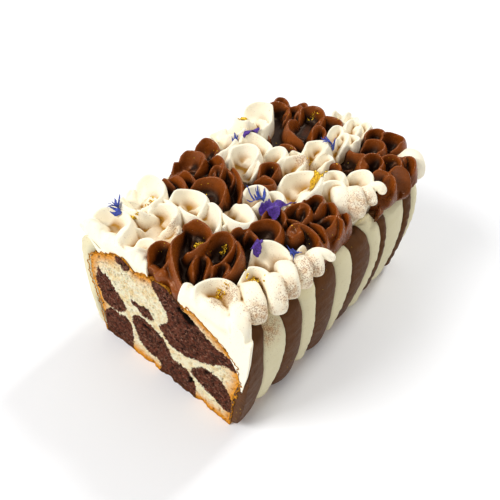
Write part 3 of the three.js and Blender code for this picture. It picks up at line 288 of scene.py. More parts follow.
        "cell": ((34, 180), (34, 159), (39, 153), (44, 148.5), (54, 143), (70, 143), (70, 180)),
        "folds": ((44, 149.5, 5, 4.6, 60, 230, 83),),
        "fingers": (((40, 147), (46, 152.6), 85.4, 67, 6.6),),
    },
}

# Each lobe: root, tip, widths from root to tip, rise of the tip
TOPPINGS = {
    "violet_petal_centre": (
        ((11, 59.5), (16.5, 69.5), (2, 6, 8, 6), 0.6),
        ((11.5, 61), (20.8, 62.6), (2, 4, 6, 4.4), -0.4),
        ((15.5, 67), (22.8, 73.6), (2.4, 2, 1.2), 0.3),
    ),
    "blue_petal_centre": (
        ((9.4, 64.4), (1, 69.8), (1.6, 3.6, 2.4), 1.8),
        ((9, 64.2), (-2.4, 65.6), (1.2, 1.4, 2.6), 1.2),
    ),
    "violet_petal_front": (
        ((28.6, 35.4), (23.6, 42.6), (2.6, 4.6, 4.8, 3.6), 1.2),
    ),
    "blue_petal_front": (
        ((41.2, 46.4), (35.2, 50.7), (1.6, 2, 1), 1.6),
        ((40, 46.6), (44.4, 48), (1.4, 2.6, 1.6), 0.3),
        ((40, 47), (43.9, 42.8), (1.4, 2.6, 1.6), -0.2),
    ),
    "blue_petal_left": (
        ((-38, 15.6), (-46, 14.8), (1.8, 2.8, 1.2), 0.4),
        ((-41.6, 17.4), (-48.6, 16), (1.8, 2.4, 1.2), 1),
        ((-41.2, 16.2), (-48, 20.8), (1.6, 2.6, 1.4), 2.2),
    ),
    "violet_petal_back": (
        ((-32, 99), (-32.6, 112.4), (1.4, 3, 5, 5.4), 1.4),
    ),
    "blue_petal_back_left": (
        ((-35.6, 97), (-39.6, 100.4), (1.4, 2.8, 1.4), 0.8),
    ),
    "blue_petal_back": (
        ((10, 123.4), (1.2, 130.8), (1.6, 3, 1.6), 1.6),
        ((9.4, 123.2), (1.6, 124.4), (1.4, 2.2, 1.2), 0.6),
    ),
    "gold_leaf_right": (
        ((19.2, 89.4), (17, 103.6), (1.6, 3.4, 6.6, 5.4), 0.4),
    ),
    "gold_leaf_back": (
        ((-43.4, 111.4), (-48.6, 119.4), (3.4, 6.4, 3), 0.6),
    ),
}

# Heaps of crumpled gold: x, y, length, breadth and turn in degrees
FLAKES = {
    "chocolate_ruffle_front": ((1, 27, 3.6, 2.2, 30), (13.5, 31, 3, 1.8, 80)),
    "cream_ruffle_front_left": ((-33, 31, 4.4, 2, 20), (-31, 18, 3, 1.8, 70)),
    "cream_ruffle_front_right": ((36.5, 24.5, 5.6, 4, 10), (28.5, 12, 5.4, 3, 50)),
    "cream_ruffle_back_centre": ((4, 112.5, 3, 2, 15),),
    "chocolate_ruffle_back_left": ((-20, 149, 3, 1.6, 40),),
}
# Cocoa dusted thickly on the icing, with a tan wash there that is also painted shade on the right-hand
# fingers: x, y, z and reach
DUSTED_AND_SHADED = (
    (49, 12, 79, 11), (51, 28, 79, 12), (51, 44, 80, 12), (43, 98, 80, 13), (31.6, 9, 84, 10),
    (-10.8, 23.7, 84, 9), (54, 18, 65, 14), (53, 65, 70, 12), (4.6, 105.8, 84, 9))

# where the camera stands: turn, height and roll in degrees, then the point it looks at and how far that is
CAMERA_ANGLES = (36.96, 45.73, 3.36)
CAMERA_TARGET = (-6.82, 77.66 - LENGTH / 2, 30)
CAMERA_DISTANCE = 354.38
# lamps, in metres: place, share of the key light's power, size
LAMPS = (((-1.3, -2.1, 2.1), 1.0, 1.3), ((0.1, 1.7, 1.9), 0.35, 0.5))
LAMPS_AIM = (0, 0, 0.05)

# ---------------------------------------------------------------- numbers the panel shows


def linear(code):
    """Scene-linear colour of a web colour code."""
    parts = [int(code[i:i + 2], 16) / 255 for i in (1, 3, 5)]
    return tuple(c / 12.92 if c <= 0.04045 else ((c + 0.055) / 1.055) ** 2.4 for c in parts)


def colour(code, name, description):
    return bpy.props.FloatVectorProperty(
        name=name, description=description, subtype="COLOR", size=3, min=0, max=1, default=linear(code))


def length(value, name, description):
    """A size given in millimetres."""
    return bpy.props.FloatProperty(
        name=name, description=description, subtype="DISTANCE", unit="LENGTH", min=0, precision=5,
        default=value * MM)


def factor(value, name, description):
    return bpy.props.FloatProperty(
        name=name, description=description, subtype="FACTOR", min=0, max=1, default=value)


class CakeIcing(bpy.types.PropertyGroup):
    """Buttercream: sizes of the piping and its colours."""

    voxel: length(0.42, "Mesh size", "Size of the faces of the piped icing")
    cream_lip: length(0.6, "Cream lip", "Rounding of the upper edge of a cream fold")
    chocolate_lip: length(0.25, "Chocolate lip", "Rounding of the upper edge of a chocolate fold")
    cream: colour("#fff6dd", "Cream", "Buttercream in full light")
    # painted shade: the tan that the cream turns in the hollows and creases between the folds
    cream_painted_shade: colour("#ad7a1c", "Cream hollow", "Buttercream deep between the folds")
    # painted shade: the cream of the side stripes is painted darker than the cream on top
    cream_wall: colour("#dfd5ae", "Cream wall", "Buttercream stripes on the sides")
    chocolate: colour("#86410f", "Chocolate", "Chocolate buttercream on the folds")
    # painted shade: the near black of the chocolate in the creases between the folds; it also darkens random
    # streaks
    chocolate_shade_and_streak: colour("#170502", "Chocolate hollow", "Chocolate buttercream deep between the folds")
    chocolate_wall: colour("#5c381b", "Chocolate wall", "Chocolate stripes on the sides")
    cocoa: colour("#8a4a20", "Cocoa", "Cocoa dusted over the cream")
    dust: factor(0.5, "Dusting", "How much cocoa lies on the cream")


class CakeSponge(bpy.types.PropertyGroup):
    """Sponge: the cut face and its colours."""

    grain: length(0.55, "Mesh size", "Size of the faces of the cut face")
    vanilla: colour("#fff6d4", "Vanilla", "Pale crumb")
    chocolate: colour("#713a28", "Chocolate", "Dark crumb")
    crust: colour("#f09c1a", "Crust", "Baked outside of the pale sponge")
    crust_width: length(3.2, "Crust width", "Width of the golden band round the cut face")


class CakeToppings(bpy.types.PropertyGroup):
    """Petals and gold leaf."""

    violet: colour("#54259c", "Violet", "Violet petals")
    blue: colour("#2b45b4", "Blue", "Blue petals")
    gold: colour("#ecc032", "Gold", "Gold leaf and flakes")


class CakeStage(bpy.types.PropertyGroup):
    """Floor, light and camera."""

    floor: colour("#fbfbfc", "Floor", "Pale floor")
    ambient: bpy.props.FloatProperty(name="Ambient", description="Strength of the light from all round",
                                     default=0.53)
    key: bpy.props.FloatProperty(name="Key", description="Power of the large soft light", subtype="POWER",
                                 unit="POWER", default=72.0)
    focal: bpy.props.FloatProperty(name="Focal length", description="Lens of the camera in millimetres",
                                   default=44.79, min=1)


# ---------------------------------------------------------------- shapes


def mix(a, b, t):
    return a + (b - a) * t


def smoothstep(value, low, high):
    t = np.clip((np.asarray(value, float) - low) / (high - low), 0, 1)
    return t * t * (3 - 2 * t)


def plan_point(s, out):
    """Point of the loaf's plan: s runs up the right side from the cut, round the back and down the left."""
    s, out = np.broadcast_arrays(np.asarray(s, float), np.asarray(out, float))
    mirrored = s > PATH / 2
    along = np.where(mirrored, PATH - s, s)
    angle = np.clip((along - SIDE) / CORNER_RADIUS, 0, math.pi / 2)
    bow = BARREL * np.sin(math.pi * np.clip(along, 0, SIDE) / (SIDE + CORNER_RADIUS)) * np.cos(angle)
    past = np.maximum(along - SIDE - CORNER, 0)
    x = HALF_WIDTH - CORNER_RADIUS + (CORNER_RADIUS + out) * np.cos(angle) + bow - past
    y = np.minimum(along, SIDE) + (CORNER_RADIUS + out) * np.sin(angle)
    return np.where(mirrored, -x, x), y


def lean_rise(x, z):
    """How much higher the loaf stands at x, because it leans."""
    return -LOAF_TILT * x * smoothstep(z, LEAN_START, LEAN_FULL)


def new_object(name, vertices, faces):
    """A mesh object from millimetre coordinates, moved to where the solid model lies, faces outwards."""
    mesh = bpy.data.meshes.new(name)
    points = np.asarray(vertices, float) - (0, LENGTH / 2, 0)
    mesh.from_pydata((points * MM).tolist(), [], [tuple(f) for f in faces])
    mesh.update()
    obj = bpy.data.objects.new(name, mesh)
    bpy.context.scene.collection.objects.link(obj)
    turn_outwards(obj)
    return obj


def turn_outwards(obj):
    """Turns all faces outwards."""
    bm = bmesh.new()
    bm.from_mesh(obj.data)
    bmesh.ops.recalc_face_normals(bm, faces=bm.faces)
    bm.to_mesh(obj.data)
    bm.free()


def shade_smooth(obj):
    obj.data.polygons.foreach_set("use_smooth", [True] * len(obj.data.polygons))


def grid_faces(rows, columns, closed=False):
    """Quads of a grid of vertices stored row by row."""
    last = columns if closed else columns - 1
    k, i = np.meshgrid(np.arange(rows - 1), np.arange(last), indexing="ij")
    a = k * columns + i
    b = k * columns + (i + 1) % columns
    quads = np.stack([a, b, b + columns, a + columns], -1).reshape(-1, 4)
    return [tuple(quad) for quad in quads.tolist()]


def lofted(rings):
    """Vertices and faces of a closed body through rings of points."""
    count, size = rings.shape[:2]
    ends = [tuple(range(size))[::-1], tuple(range((count - 1) * size, count * size))]
    return rings.reshape(-1, 3), grid_faces(count, size, closed=True) + ends


def set_attribute(obj, name, values):
    attribute = obj.data.attributes.new(name, "FLOAT", "POINT")
    attribute.data.foreach_set("value", np.asarray(values, np.float32))


def coordinates(obj):
    points = np.empty(len(obj.data.vertices) * 3, np.float32)
    obj.data.vertices.foreach_get("co", points)
    return points.reshape(-1, 3).astype(float)


def move_to(obj, points):
    obj.data.vertices.foreach_set("co", np.asarray(points, np.float32).ravel())
    obj.data.update()


def normals(obj):
    values = np.empty(len(obj.data.vertices) * 3, np.float32)
    obj.data.vertex_normals.foreach_get("vector", values)
    return values.reshape(-1, 3).astype(float)


def neighbour_average(obj, values, rounds):
    """values at the vertices, averaged with their neighbours again and again."""
    edges = np.empty(len(obj.data.edges) * 2, np.int32)
    obj.data.edges.foreach_get("vertices", edges)
    a, b = edges.reshape(-1, 2).T
    count = np.bincount(np.concatenate([a, b]), minlength=len(values)).clip(1)[:, None]
    values = values.copy()
    for _ in range(rounds):
        total = np.stack([np.bincount(a, column[b], len(values)) + np.bincount(b, column[a], len(values))
                          for column in values.T], 1)
        values = 0.5 * values + 0.5 * total / count
    return values


def hollowness(obj, rounds=60):
    """How far each vertex lies below the surface round it, in millimetres."""
    points = coordinates(obj) / MM
    away = neighbour_average(obj, points, rounds) - points
    return np.einsum("ij,ij->i", away, normals(obj))


def baked(obj):
    """The object with its modifiers turned into mesh."""
    evaluated = obj.evaluated_get(bpy.context.evaluated_depsgraph_get())
    mesh = bpy.data.meshes.new_from_object(evaluated)
    old = obj.data
    obj.modifiers.clear()
    obj.data = mesh
    bpy.data.meshes.remove(old)
    return obj


# ---------------------------------------------------------------- piped folds


# how steeply the layer under the folds falls away past the stripes, and how deep it lies under the folds
BED_FALL = 3
BED_SUNK = 1.5
# distance between the points along a lip
LIP_STEP = 0.7
# the ends of a lip come down by this much over these degrees of its sweep
LIP_END_DROP, LIP_END_SWEEP = 3.8, 38
# a fold leans over in full where it stands this high above the layer
LEAN_HEIGHT = 11


def bed_height(x, y):
    """Top of the layer of icing under the folds, falling away past the stripes."""
    half, height = zip(*BED_HEIGHT)
    past = np.maximum(np.maximum(np.abs(x) - half[-1], y - LENGTH), 0)
    end = BED_END_DROP * smoothstep(y, SIDE, LENGTH)
    return np.interp(np.abs(x), half, height) + BED_LEAN * lean_rise(x, LEAN_FULL) - end - BED_FALL * past


def signed_distance(outline, x, y):
    """Distance to a closed outline, negative inside it."""
    points = np.asarray(outline, float)
    ends = np.roll(points, -1, 0)
    best = np.full(x.shape, 1e9)
    inside = np.zeros(x.shape, bool)
    for (x0, y0), (x1, y1) in zip(points, ends):
        dx, dy = x1 - x0, y1 - y0
        t = np.clip(((x - x0) * dx + (y - y0) * dy) / max(dx * dx + dy * dy, 1e-9), 0, 1)
        best = np.minimum(best, np.hypot(x - x0 - t * dx, y - y0 - t * dy))
        if dy:
            crosses = ((y0 > y) != (y1 > y)) & (x < x0 + (y - y0) * dx / dy)
            inside ^= crosses
    return np.where(inside, -best, best)


def fold_line(fold, seed):
    """Points along the lip of a fold, the way it faces there, and the height of the lip."""
    x, y, along, across, turn, sweep, top = fold
    sweep = min(sweep, WIDEST_SWEEP)
    count = max(8, int(math.radians(sweep) * max(along, across) / LIP_STEP))
    t = np.linspace(0, 1, count)
    angle = np.radians(sweep * (t - 0.5))
    c, s = math.cos(math.radians(turn)), math.sin(math.radians(turn))
    u, v = along * np.cos(angle), across * np.sin(angle)
    nu, nv = np.cos(angle) / along, np.sin(angle) / across
    size = np.hypot(nu, nv)
    points = np.stack([x + c * u - s * v, y + s * u + c * v], 1)
    facing = np.stack([(c * nu - s * nv) / size, (s * nu + c * nv) / size], 1)
    from_end = np.minimum(t, 1 - t) * sweep
    ends = LIP_END_DROP * (1 - smoothstep(from_end, 0, LIP_END_SWEEP))
    height = top - ends + 0.9 * np.sin(2.2 * math.pi * t + seed) + 0.4 * np.sin(7 * t + 2.3 * seed)
    return points, facing, height


def wall_line(wall, kind):
    """The same for the smooth front of a field, which leans nowhere."""
    (x0, y0), (x1, y1), top = wall
    t = np.linspace(0, 1, max(4, int(math.hypot(x1 - x0, y1 - y0) / LIP_STEP)))
    points = np.stack([mix(x0, x1, t), mix(y0, y1, t)], 1)
    across = points[:, 0]
    height = top - FRONT_DROP[kind] + 1.1 * np.sin(0.42 * across + 1) + 0.6 * np.sin(0.9 * across)
    return points, np.zeros((len(t), 2)), height


def ridge(x, y, line, lip, profile):
    """Height of one fold over the plan, and which way its upper part leans."""
    rate, bend, slope, cup = profile
    points, facing, height = line
    flat_x, flat_y = x.ravel(), y.ravel()
    distance = np.hypot(flat_x[:, None] - points[:, 0], flat_y[:, None] - points[:, 1])
    nearest = distance.argmin(1)
    away = distance[np.arange(len(flat_x)), nearest]
    foot, way = points[nearest], facing[nearest]
    side = (flat_x - foot[:, 0]) * way[:, 0] + (flat_y - foot[:, 1]) * way[:, 1]
    run = np.sqrt(away * away + lip * lip) - lip
    drop = mix(cup * np.tanh(run * slope / cup), rate * run ** bend, smoothstep(side, -0.4, 0.4))
    return (height[nearest] - drop).reshape(x.shape), way.reshape(*x.shape, 2)


def soft_highest(heights, softness):
    """The highest of several surfaces, with the creases between them slightly rounded."""
    peak = heights.max(0)
    return peak + softness * np.log(np.exp((heights - peak) / softness).sum(0))


def height_block(top, bottom, keep):
    """Closed block between two surfaces over the same grid, made of the kept cells only."""
    rows, columns = top.shape[:2]
    count = rows * columns
    ids = np.arange(count).reshape(rows, columns)
    corners = np.stack([ids[:-1, :-1], ids[:-1, 1:], ids[1:, 1:], ids[1:, :-1]], -1)
    cells = corners[keep]
    faces = [cells, cells[:, ::-1] + count]
    padded = np.pad(keep, 1)
    sides = ((padded[:-2, 1:-1], 0, 1), (padded[1:-1, 2:], 1, 2),
             (padded[2:, 1:-1], 2, 3), (padded[1:-1, :-2], 3, 0))
    for neighbour, i, j in sides:
        edge = corners[keep & ~neighbour]
        faces.append(np.stack([edge[:, j], edge[:, i], edge[:, i] + count, edge[:, j] + count], 1))
    faces = np.concatenate(faces)
    used, remapped = np.unique(faces, return_inverse=True)
    vertices = np.concatenate([top.reshape(-1, 3), bottom.reshape(-1, 3)])[used]
    return vertices, remapped.reshape(-1, 4)


def tube(path, radii, sides, seed):
    """Closed tube along a path, squarish in section and slightly uneven, with its ends drawn together."""
    path, radii = np.asarray(path, float), np.asarray(radii, float)
    tangents = np.gradient(path, axis=0)
    tangents /= np.linalg.norm(tangents, axis=1)[:, None]
    level = np.cross(tangents, (0, 0, 1))
    level[np.linalg.norm(level, axis=1) < 0.2] = 0
    for i in range(len(level)):
        if not level[i].any():
            level[i] = level[i - 1]
    level /= np.linalg.norm(level, axis=1)[:, None]
    across = np.cross(level, tangents)
    angles = np.linspace(0, 2 * math.pi, sides, endpoint=False)
    steps = np.arange(len(path))
    section = 1 + 0.07 * np.cos(4 * angles + math.pi)[None, :] + 0.035 * np.sin(
        0.31 * steps[:, None] + 3 * angles[None, :] + 5 * seed)
    radii = radii[:, None] * section
    return lofted(path[:, None] + radii[..., None] * (np.cos(angles)[None, :, None] * level[:, None]
                  + np.sin(angles)[None, :, None] * across[:, None]))


# rings along a finger and points round it
FINGER_RINGS, FINGER_SIDES = 44, 22


def finger(spec):
    """A fat pleat that runs out over the edge of the loaf and hangs down it."""
    (x0, y0), (x1, y1), top, tip, radius = spec
    level = top - radius
    knots = [(0.0, level - 5), (0.3, level - 0.5), (0.7, level - 0.4), (0.96, level - 2.6),
             (1.02, mix(level, tip, 0.5)), (1.02, tip)]
    t, z = (np.array(v) for v in zip(*knots))
    points = np.stack([mix(x0, x1, t), mix(y0, y1, t), z], 1)
    for _ in range(3):
        before, after = points[:-1], points[1:]
        cut = np.stack([mix(before, after, 0.25), mix(before, after, 0.75)], 1).reshape(-1, 3)
        points = np.concatenate([points[:1], cut, points[-1:]])
    run = np.concatenate([[0], np.cumsum(np.linalg.norm(np.diff(points, axis=0), axis=1))])
    place = run[-1] * (1 - np.linspace(1, 0, FINGER_RINGS) ** 1.4)
    path = np.stack([np.interp(place, run, points[:, j]) for j in range(3)], 1)
    from_tip = np.clip((run[-1] - place) / radius, 0.002, 1)
    swell = 0.94 + 0.06 * np.sin(math.pi * place / run[-1])
    return tube(path, radius * swell * (1 - (1 - from_tip) ** 2.6) ** 0.5, FINGER_SIDES, radius)


# how a fold falls away from its lip: rate and bend outside it, slope and depth inside it
PROFILES = {"cream": (1.15, 1.38, 3.8, 8.0), "chocolate": (1.2, 1.4, 6.0, 9.5),
            "wall": (0.5, 1.6, 1.8, 30.0)}
# rounding of the creases between folds, and how far the folds lean over
SOFTNESS = {"cream": 0.2, "chocolate": 0.12}
LEAN = {"cream": 0.9, "chocolate": 1.3}
WALL_LIP = 3.0
# where the folds run over the edge of the loaf: width of a lobe, and how far it hangs out
LOBE_WIDTH = {"cream": 9.5, "chocolate": 11.5}
LOBE_REACH = {"chocolate_ruffle_middle_right": 1.0, "chocolate_ruffle_back_right": 6.8,
              "chocolate_ruffle_middle_left": 0.8, "cream_ruffle_front_right": 0.5,
              "cream_ruffle_middle_right": 0.5, "cream_ruffle_back_corner": 3.0}
USUAL_REACH = 5.2
CREASE_REACH = 1.6
# the lobes on the left are set further along by this much
LEFT_LOBES_SHIFT = 3.7
LOBE_HEIGHT = 73.0
# half width at which the folds begin to hang over, and the same where fingers cover them
HANG_START = 46.0
FINGERED_START = 41.5
# places where the edge is drawn in: side, place along it, half width and depth
NOTCHES = [(-1, 47, 7, 6)]
# depth over which the front of the folds is rounded where the knife went through
FRONT_ROUNDING = {"cream": 3.5, "chocolate": 7.0}
# how far the front of the folds lies below the line along it, and how much it waves
FRONT_DROP = {"cream": 0.5, "chocolate": 3.5}
# what lies under the folds past the sponge: distance from the loaf's middle, height of the stripes' tops
STRIPE_TOPS = [(38, 60), (45, 69), (50, 69.6), (54, 72), (60, 78)]
# a field's grid: distance between its points, margin round the cell, and the limits of the plan
PLAN_STEP, QUICK_PLAN_STEP = 0.42, 0.8
PLAN_MARGIN = 3
PLAN_LIMITS = ((-58, 0), (59, 164.5))
# past its cell a field falls away by this much at 1 mm, and more and more steeply
CELL_FALL, CELL_FALL_BEND = 5.5, 1.4
# heights between which the knife smears the icing at the cut
SMEAR_START, SMEAR_FULL = 66, 76


def tongue():
    """The smooth icing that the knife drew down the right corner."""
    height, inner, outer, depth = np.array(CORNER_TONGUE, float).T
    z = np.linspace(height[0], height[-1], 40)
    inner, outer, depth = (np.interp(z, height, values) for values in (inner, outer, depth))
    angle = np.linspace(0, math.pi / 2, 14)
    x = inner[:, None] + (outer - inner)[:, None] * np.cos(angle) ** 0.6
    y = depth[:, None] * np.sin(angle) ** 0.7
    z = np.repeat(z[:, None], len(angle), 1)
    back = np.stack([x, y, z + lean_rise(x, z)], -1)
    front = back[:, :1] * (0, 1, 1) + inner[:, None, None] * (1, 0, 0)
    return lofted(np.concatenate([back, front], 1))


def ruffle_surface(spec, kind, lip, x, y, seed):
    """Top of one ruffle over the plan, and the sideways lean of its folds."""
    lines = [fold_line(f, seed + 1.7 * k) for k, f in enumerate(spec["folds"])]
    folds = [ridge(x, y, line, lip, PROFILES[kind]) for line in lines]
    walls = [wall_line(wall, kind) for wall in spec.get("walls", ())]
    folds += [ridge(x, y, line, WALL_LIP, PROFILES["wall"]) for line in walls]
    bed = bed_height(x, y) - BED_SUNK
    heights = np.stack([*(z for z, _ in folds), bed])
    leans = np.stack([*(lean for _, lean in folds), np.zeros((*x.shape, 2))])
    top = soft_highest(heights, SOFTNESS[kind])
    lean = np.take_along_axis(leans, heights.argmax(0)[None, ..., None], 0)[0]
    rise = np.clip((top - bed) / LEAN_HEIGHT, 0, 1) ** 2
    return top, lean * rise[..., None] * LEAN[kind]


def underside(x, y):
    """Height of what the ruffles lie on: the sponge, and the tops of the stripes round it."""
    shoulder = SPONGE_WALL[-1][0]
    half, height = zip(*SPONGE_DOME[::-1], SPONGE_WALL[-1])
    reach = np.maximum(np.abs(x) * shoulder / (shoulder + 0.5), shoulder - (LENGTH - y))
    dome = np.interp(reach, half, height) + lean_rise(x, LEAN_FULL) + crust_knobs(x, y, KNOB_FULL)
    edge = np.maximum(np.abs(x), y - LENGTH + shoulder)
    stripes = np.interp(edge, *zip(*STRIPE_TOPS)) + lean_rise(x, LEAN_FULL)
    return np.maximum(dome, stripes) - mix(0.2, 1.2, smoothstep(y, 0, 4))


def past_edge(x, y):
    """Distance past the line where the folds begin to hang over, and the place along that line."""
    radius = CORNER_RADIUS - (HALF_WIDTH - HANG_START)
    across, back = np.abs(x) - (HALF_WIDTH - CORNER_RADIUS), y - SIDE
    corner = (across > 0) & (back > 0)
    past = np.where(corner, np.hypot(across, back), np.maximum(across, back)) - radius
    turned = np.arctan2(np.maximum(back, 0), np.maximum(across, 1e-6)) * radius
    along = np.where(corner, y - back + turned, np.where(across > back, y, SIDE + CORNER - across))
    return past, along + np.where(x < 0, LEFT_LOBES_SHIFT, 0)


def hang_over(x, y, top, bottom, name, start):
    """Rounds the folds off in lobes where they run over the edge: top, bottom and what is left."""
    kind = name.split("_")[0]
    past, along = past_edge(x, y)
    past = past + HANG_START - start
    for side, place, half, deep in NOTCHES:
        past = past + deep * np.exp(-((y - place) / half) ** 2) * (x * side > 0)
    wave = np.abs(np.sin(math.pi * along / LOBE_WIDTH[kind])) ** 0.6
    uneven = 0.75 + 0.25 * np.sin(0.19 * along + 1.3)
    reach = CREASE_REACH + LOBE_REACH.get(name, USUAL_REACH) * wave * uneven
    share = np.clip(past / reach, 0, 1)
    rounding = np.sqrt(1 - share ** 2)
    middle = LOBE_HEIGHT + lean_rise(x, LEAN_FULL)
    hanging = past > 0
    top = np.where(hanging, middle + (top - middle) * rounding, top)
    bottom = np.where(hanging, middle - (middle - bottom) * rounding, bottom)
    front = np.clip(1 - y / FRONT_ROUNDING[kind], 0, 1)
    top = bottom + (top - bottom) * (1 - 0.5 * front ** 2.4)
    return top, bottom, past < reach


def ruffle_block(name, spec, lip, seed):
    """Vertices and faces of one field: its folds, and the fingers and the tongue that hang from it."""
    kind = name.split("_")[0]
    step = PLAN_STEP
    cell = np.asarray(spec["cell"], float)
    low = np.maximum(cell.min(0) - PLAN_MARGIN, PLAN_LIMITS[0])
    high = np.minimum(cell.max(0) + PLAN_MARGIN, PLAN_LIMITS[1])
    x, y = np.meshgrid(np.arange(low[0], high[0] + step, step), np.arange(low[1], high[1] + step, step))
    top, lean = ruffle_surface(spec, kind, lip, x, y, seed)
    top = top - CELL_FALL * np.maximum(signed_distance(cell, x, y), 0) ** CELL_FALL_BEND
    start = FINGERED_START if "fingers" in spec else HANG_START
    top, bottom, inside = hang_over(x, y, top, underside(x, y), name, start)
    thick = (top > bottom + 0.3) & inside
    keep = thick[:-1, :-1] & thick[:-1, 1:] & thick[1:, 1:] & thick[1:, :-1]
    upper = np.stack([x + lean[..., 0], np.maximum(y + lean[..., 1], 0), np.maximum(top, bottom + 0.2)], -1)
    lower = np.stack([x, y, bottom], -1)
    vertices, faces = height_block(upper, lower, keep)
    faces = faces.tolist()
    added = [finger(one) for one in spec.get("fingers", ())]
    if spec.get("tongue"):
        added.append(tongue())
    for more, rings in added:
        faces += [tuple(i + len(vertices) for i in ring) for ring in rings]
        vertices = np.concatenate([vertices, more])
    return vertices, faces


def ruffle_object(name, spec, icing):
    """One field of piped icing, joined, softened and trimmed at the cut."""
    kind = name.split("_")[0]
    lip = (icing.cream_lip if kind == "cream" else icing.chocolate_lip) / MM
    seed = 3.1 * list(RUFFLES).index(name)
    obj = new_object(name + "_piped", *ruffle_block(name, spec, lip, seed))
    voxel = obj.modifiers.new("Join", "REMESH")
    voxel.mode = "VOXEL"
    voxel.voxel_size = icing.voxel * 1
    soft = obj.modifiers.new("Soften", "SMOOTH")
    soft.factor = 0.5
    soft.iterations = 2 if kind == "cream" else 1
    baked(obj)
    points = coordinates(obj) / MM
    x, y, z = points.T
    smear = (1.0 + np.sin(0.62 * x + 0.1 * z + seed)) * (1.0 if kind == "chocolate" else 0.25)
    cut = smear * smoothstep(z, SMEAR_START, SMEAR_FULL) - LENGTH / 2 + ICING_SET_BACK
    points[:, 1] = np.minimum(np.maximum(y, cut), REAR - LENGTH / 2)
    move_to(obj, points * MM)
    set_attribute(obj, "hollow", hollowness(obj) * between_folds(points))
    shade_smooth(obj)
    return obj


def between_folds(points):
    """1 on the top of the cake and 0 on the outer walls below the folds, which lie in the light."""
    return 1 - smoothstep(np.abs(points[:, 0]), 40.5, 43.5) * (1 - smoothstep(points[:, 2], 77, 82))


def mark_depths(objects):
    """Stores at each point of the icing how deep it lies below the folds round it, in millimetres."""
    cell, margin, floor, spread = 1.0, 15, 66.0, 4.5
    everything = np.concatenate([coordinates(obj) for obj in objects]) / MM
    low = everything.min(0)[:2] - margin
    size = tuple(((everything.max(0)[:2] + margin - low) / cell).astype(int) + 1)
    heights = np.full(size, floor)
    place = ((everything[:, :2] - low) / cell).astype(int)
    np.maximum.at(heights, (place[:, 0], place[:, 1]), everything[:, 2])
    reach = np.arange(-12, 13)
    kernel = np.exp(-(reach * cell / spread) ** 2 / 2)
    kernel /= kernel.sum()
    for axis in (0, 1):
        heights = np.apply_along_axis(np.convolve, axis, heights, kernel, "same")
    for obj in objects:
        points = coordinates(obj) / MM
        i, j = ((points[:, :2] - low) / cell).astype(int).T
        above_walls = smoothstep(points[:, 2], 69, 75)
        set_attribute(obj, "deep", (heights[i, j] - points[:, 2]) * above_walls * between_folds(points))


# ---------------------------------------------------------------- icing on the walls


# the first and last stripe of the back begin this far past the corners
BACK_MARGIN = 4
# share of the wall's height from which an edge swings to both sides, and how suddenly it swings
EDGE_MIDDLE, EDGE_BEND = 0.45, 1.5
# points of a stripe: up the wall and across the stripe
STRIPE_LEVELS, STRIPE_COLUMNS = 44, 19
# neighbouring stripes overlap by twice this much
STRIPE_OVERLAP = 0.15


def stripe_edges():
    """Every edge between stripes, from cut to cut: place at mid height, shift at the top and at the foot."""
    back_start = SIDE + CORNER + BACK_MARGIN
    edges = list(RIGHT_EDGES)
    for i in range(BACK_STRIPES):
        middle = back_start + (PATH - 2 * back_start) * i / (BACK_STRIPES - 1)
        edges.append((middle, 1.2 * math.sin(2.3 * i), 1.5 * math.cos(1.7 * i)))
    left = RIGHT_EDGES[:-1][::-1]
    for i, (middle, top, foot) in enumerate(left):
        wobble = 0 if i == len(left) - 1 else LEFT_EDGE_WOBBLE * math.sin(2.1 * i + 0.6)
        edges.append((PATH - middle + wobble, -top, -foot))
    return edges


def edge_curve(edge, t, seed):
    middle, top, foot = edge
    sway = 0.35 * np.sin(5.3 * t + seed) + 0.25 * np.sin(11.7 * t + 2.1 * seed)
    return (middle + sway + top * np.clip((t - EDGE_MIDDLE) / (1 - EDGE_MIDDLE), 0, 1) ** EDGE_BEND
            + foot * np.clip((EDGE_MIDDLE - t) / EDGE_MIDDLE, 0, 1) ** EDGE_BEND)


def wall_profile(t):
    """The rounded profile of the stripes at shares t of its run: outside and inside half width and height."""
    last = len(ICING_WALL) - 1
    fine = np.linspace(0, last, 240)
    profile = np.stack([np.interp(fine, np.arange(last + 1), column) for column in zip(*ICING_WALL)], 1)
    reach = 12
    padded = np.concatenate([profile[:1] + (profile[:1] - profile[1:reach + 1][::-1]), profile,
                             profile[-1:] + (profile[-1:] - profile[-reach - 1:-1][::-1])])
    kernel = np.ones(2 * reach + 1) / (2 * reach + 1)
    smooth = [np.convolve(column, kernel, "valid") for column in padded.T]
    return [np.interp(t.ravel() * last, fine, column).reshape(t.shape) for column in smooth]


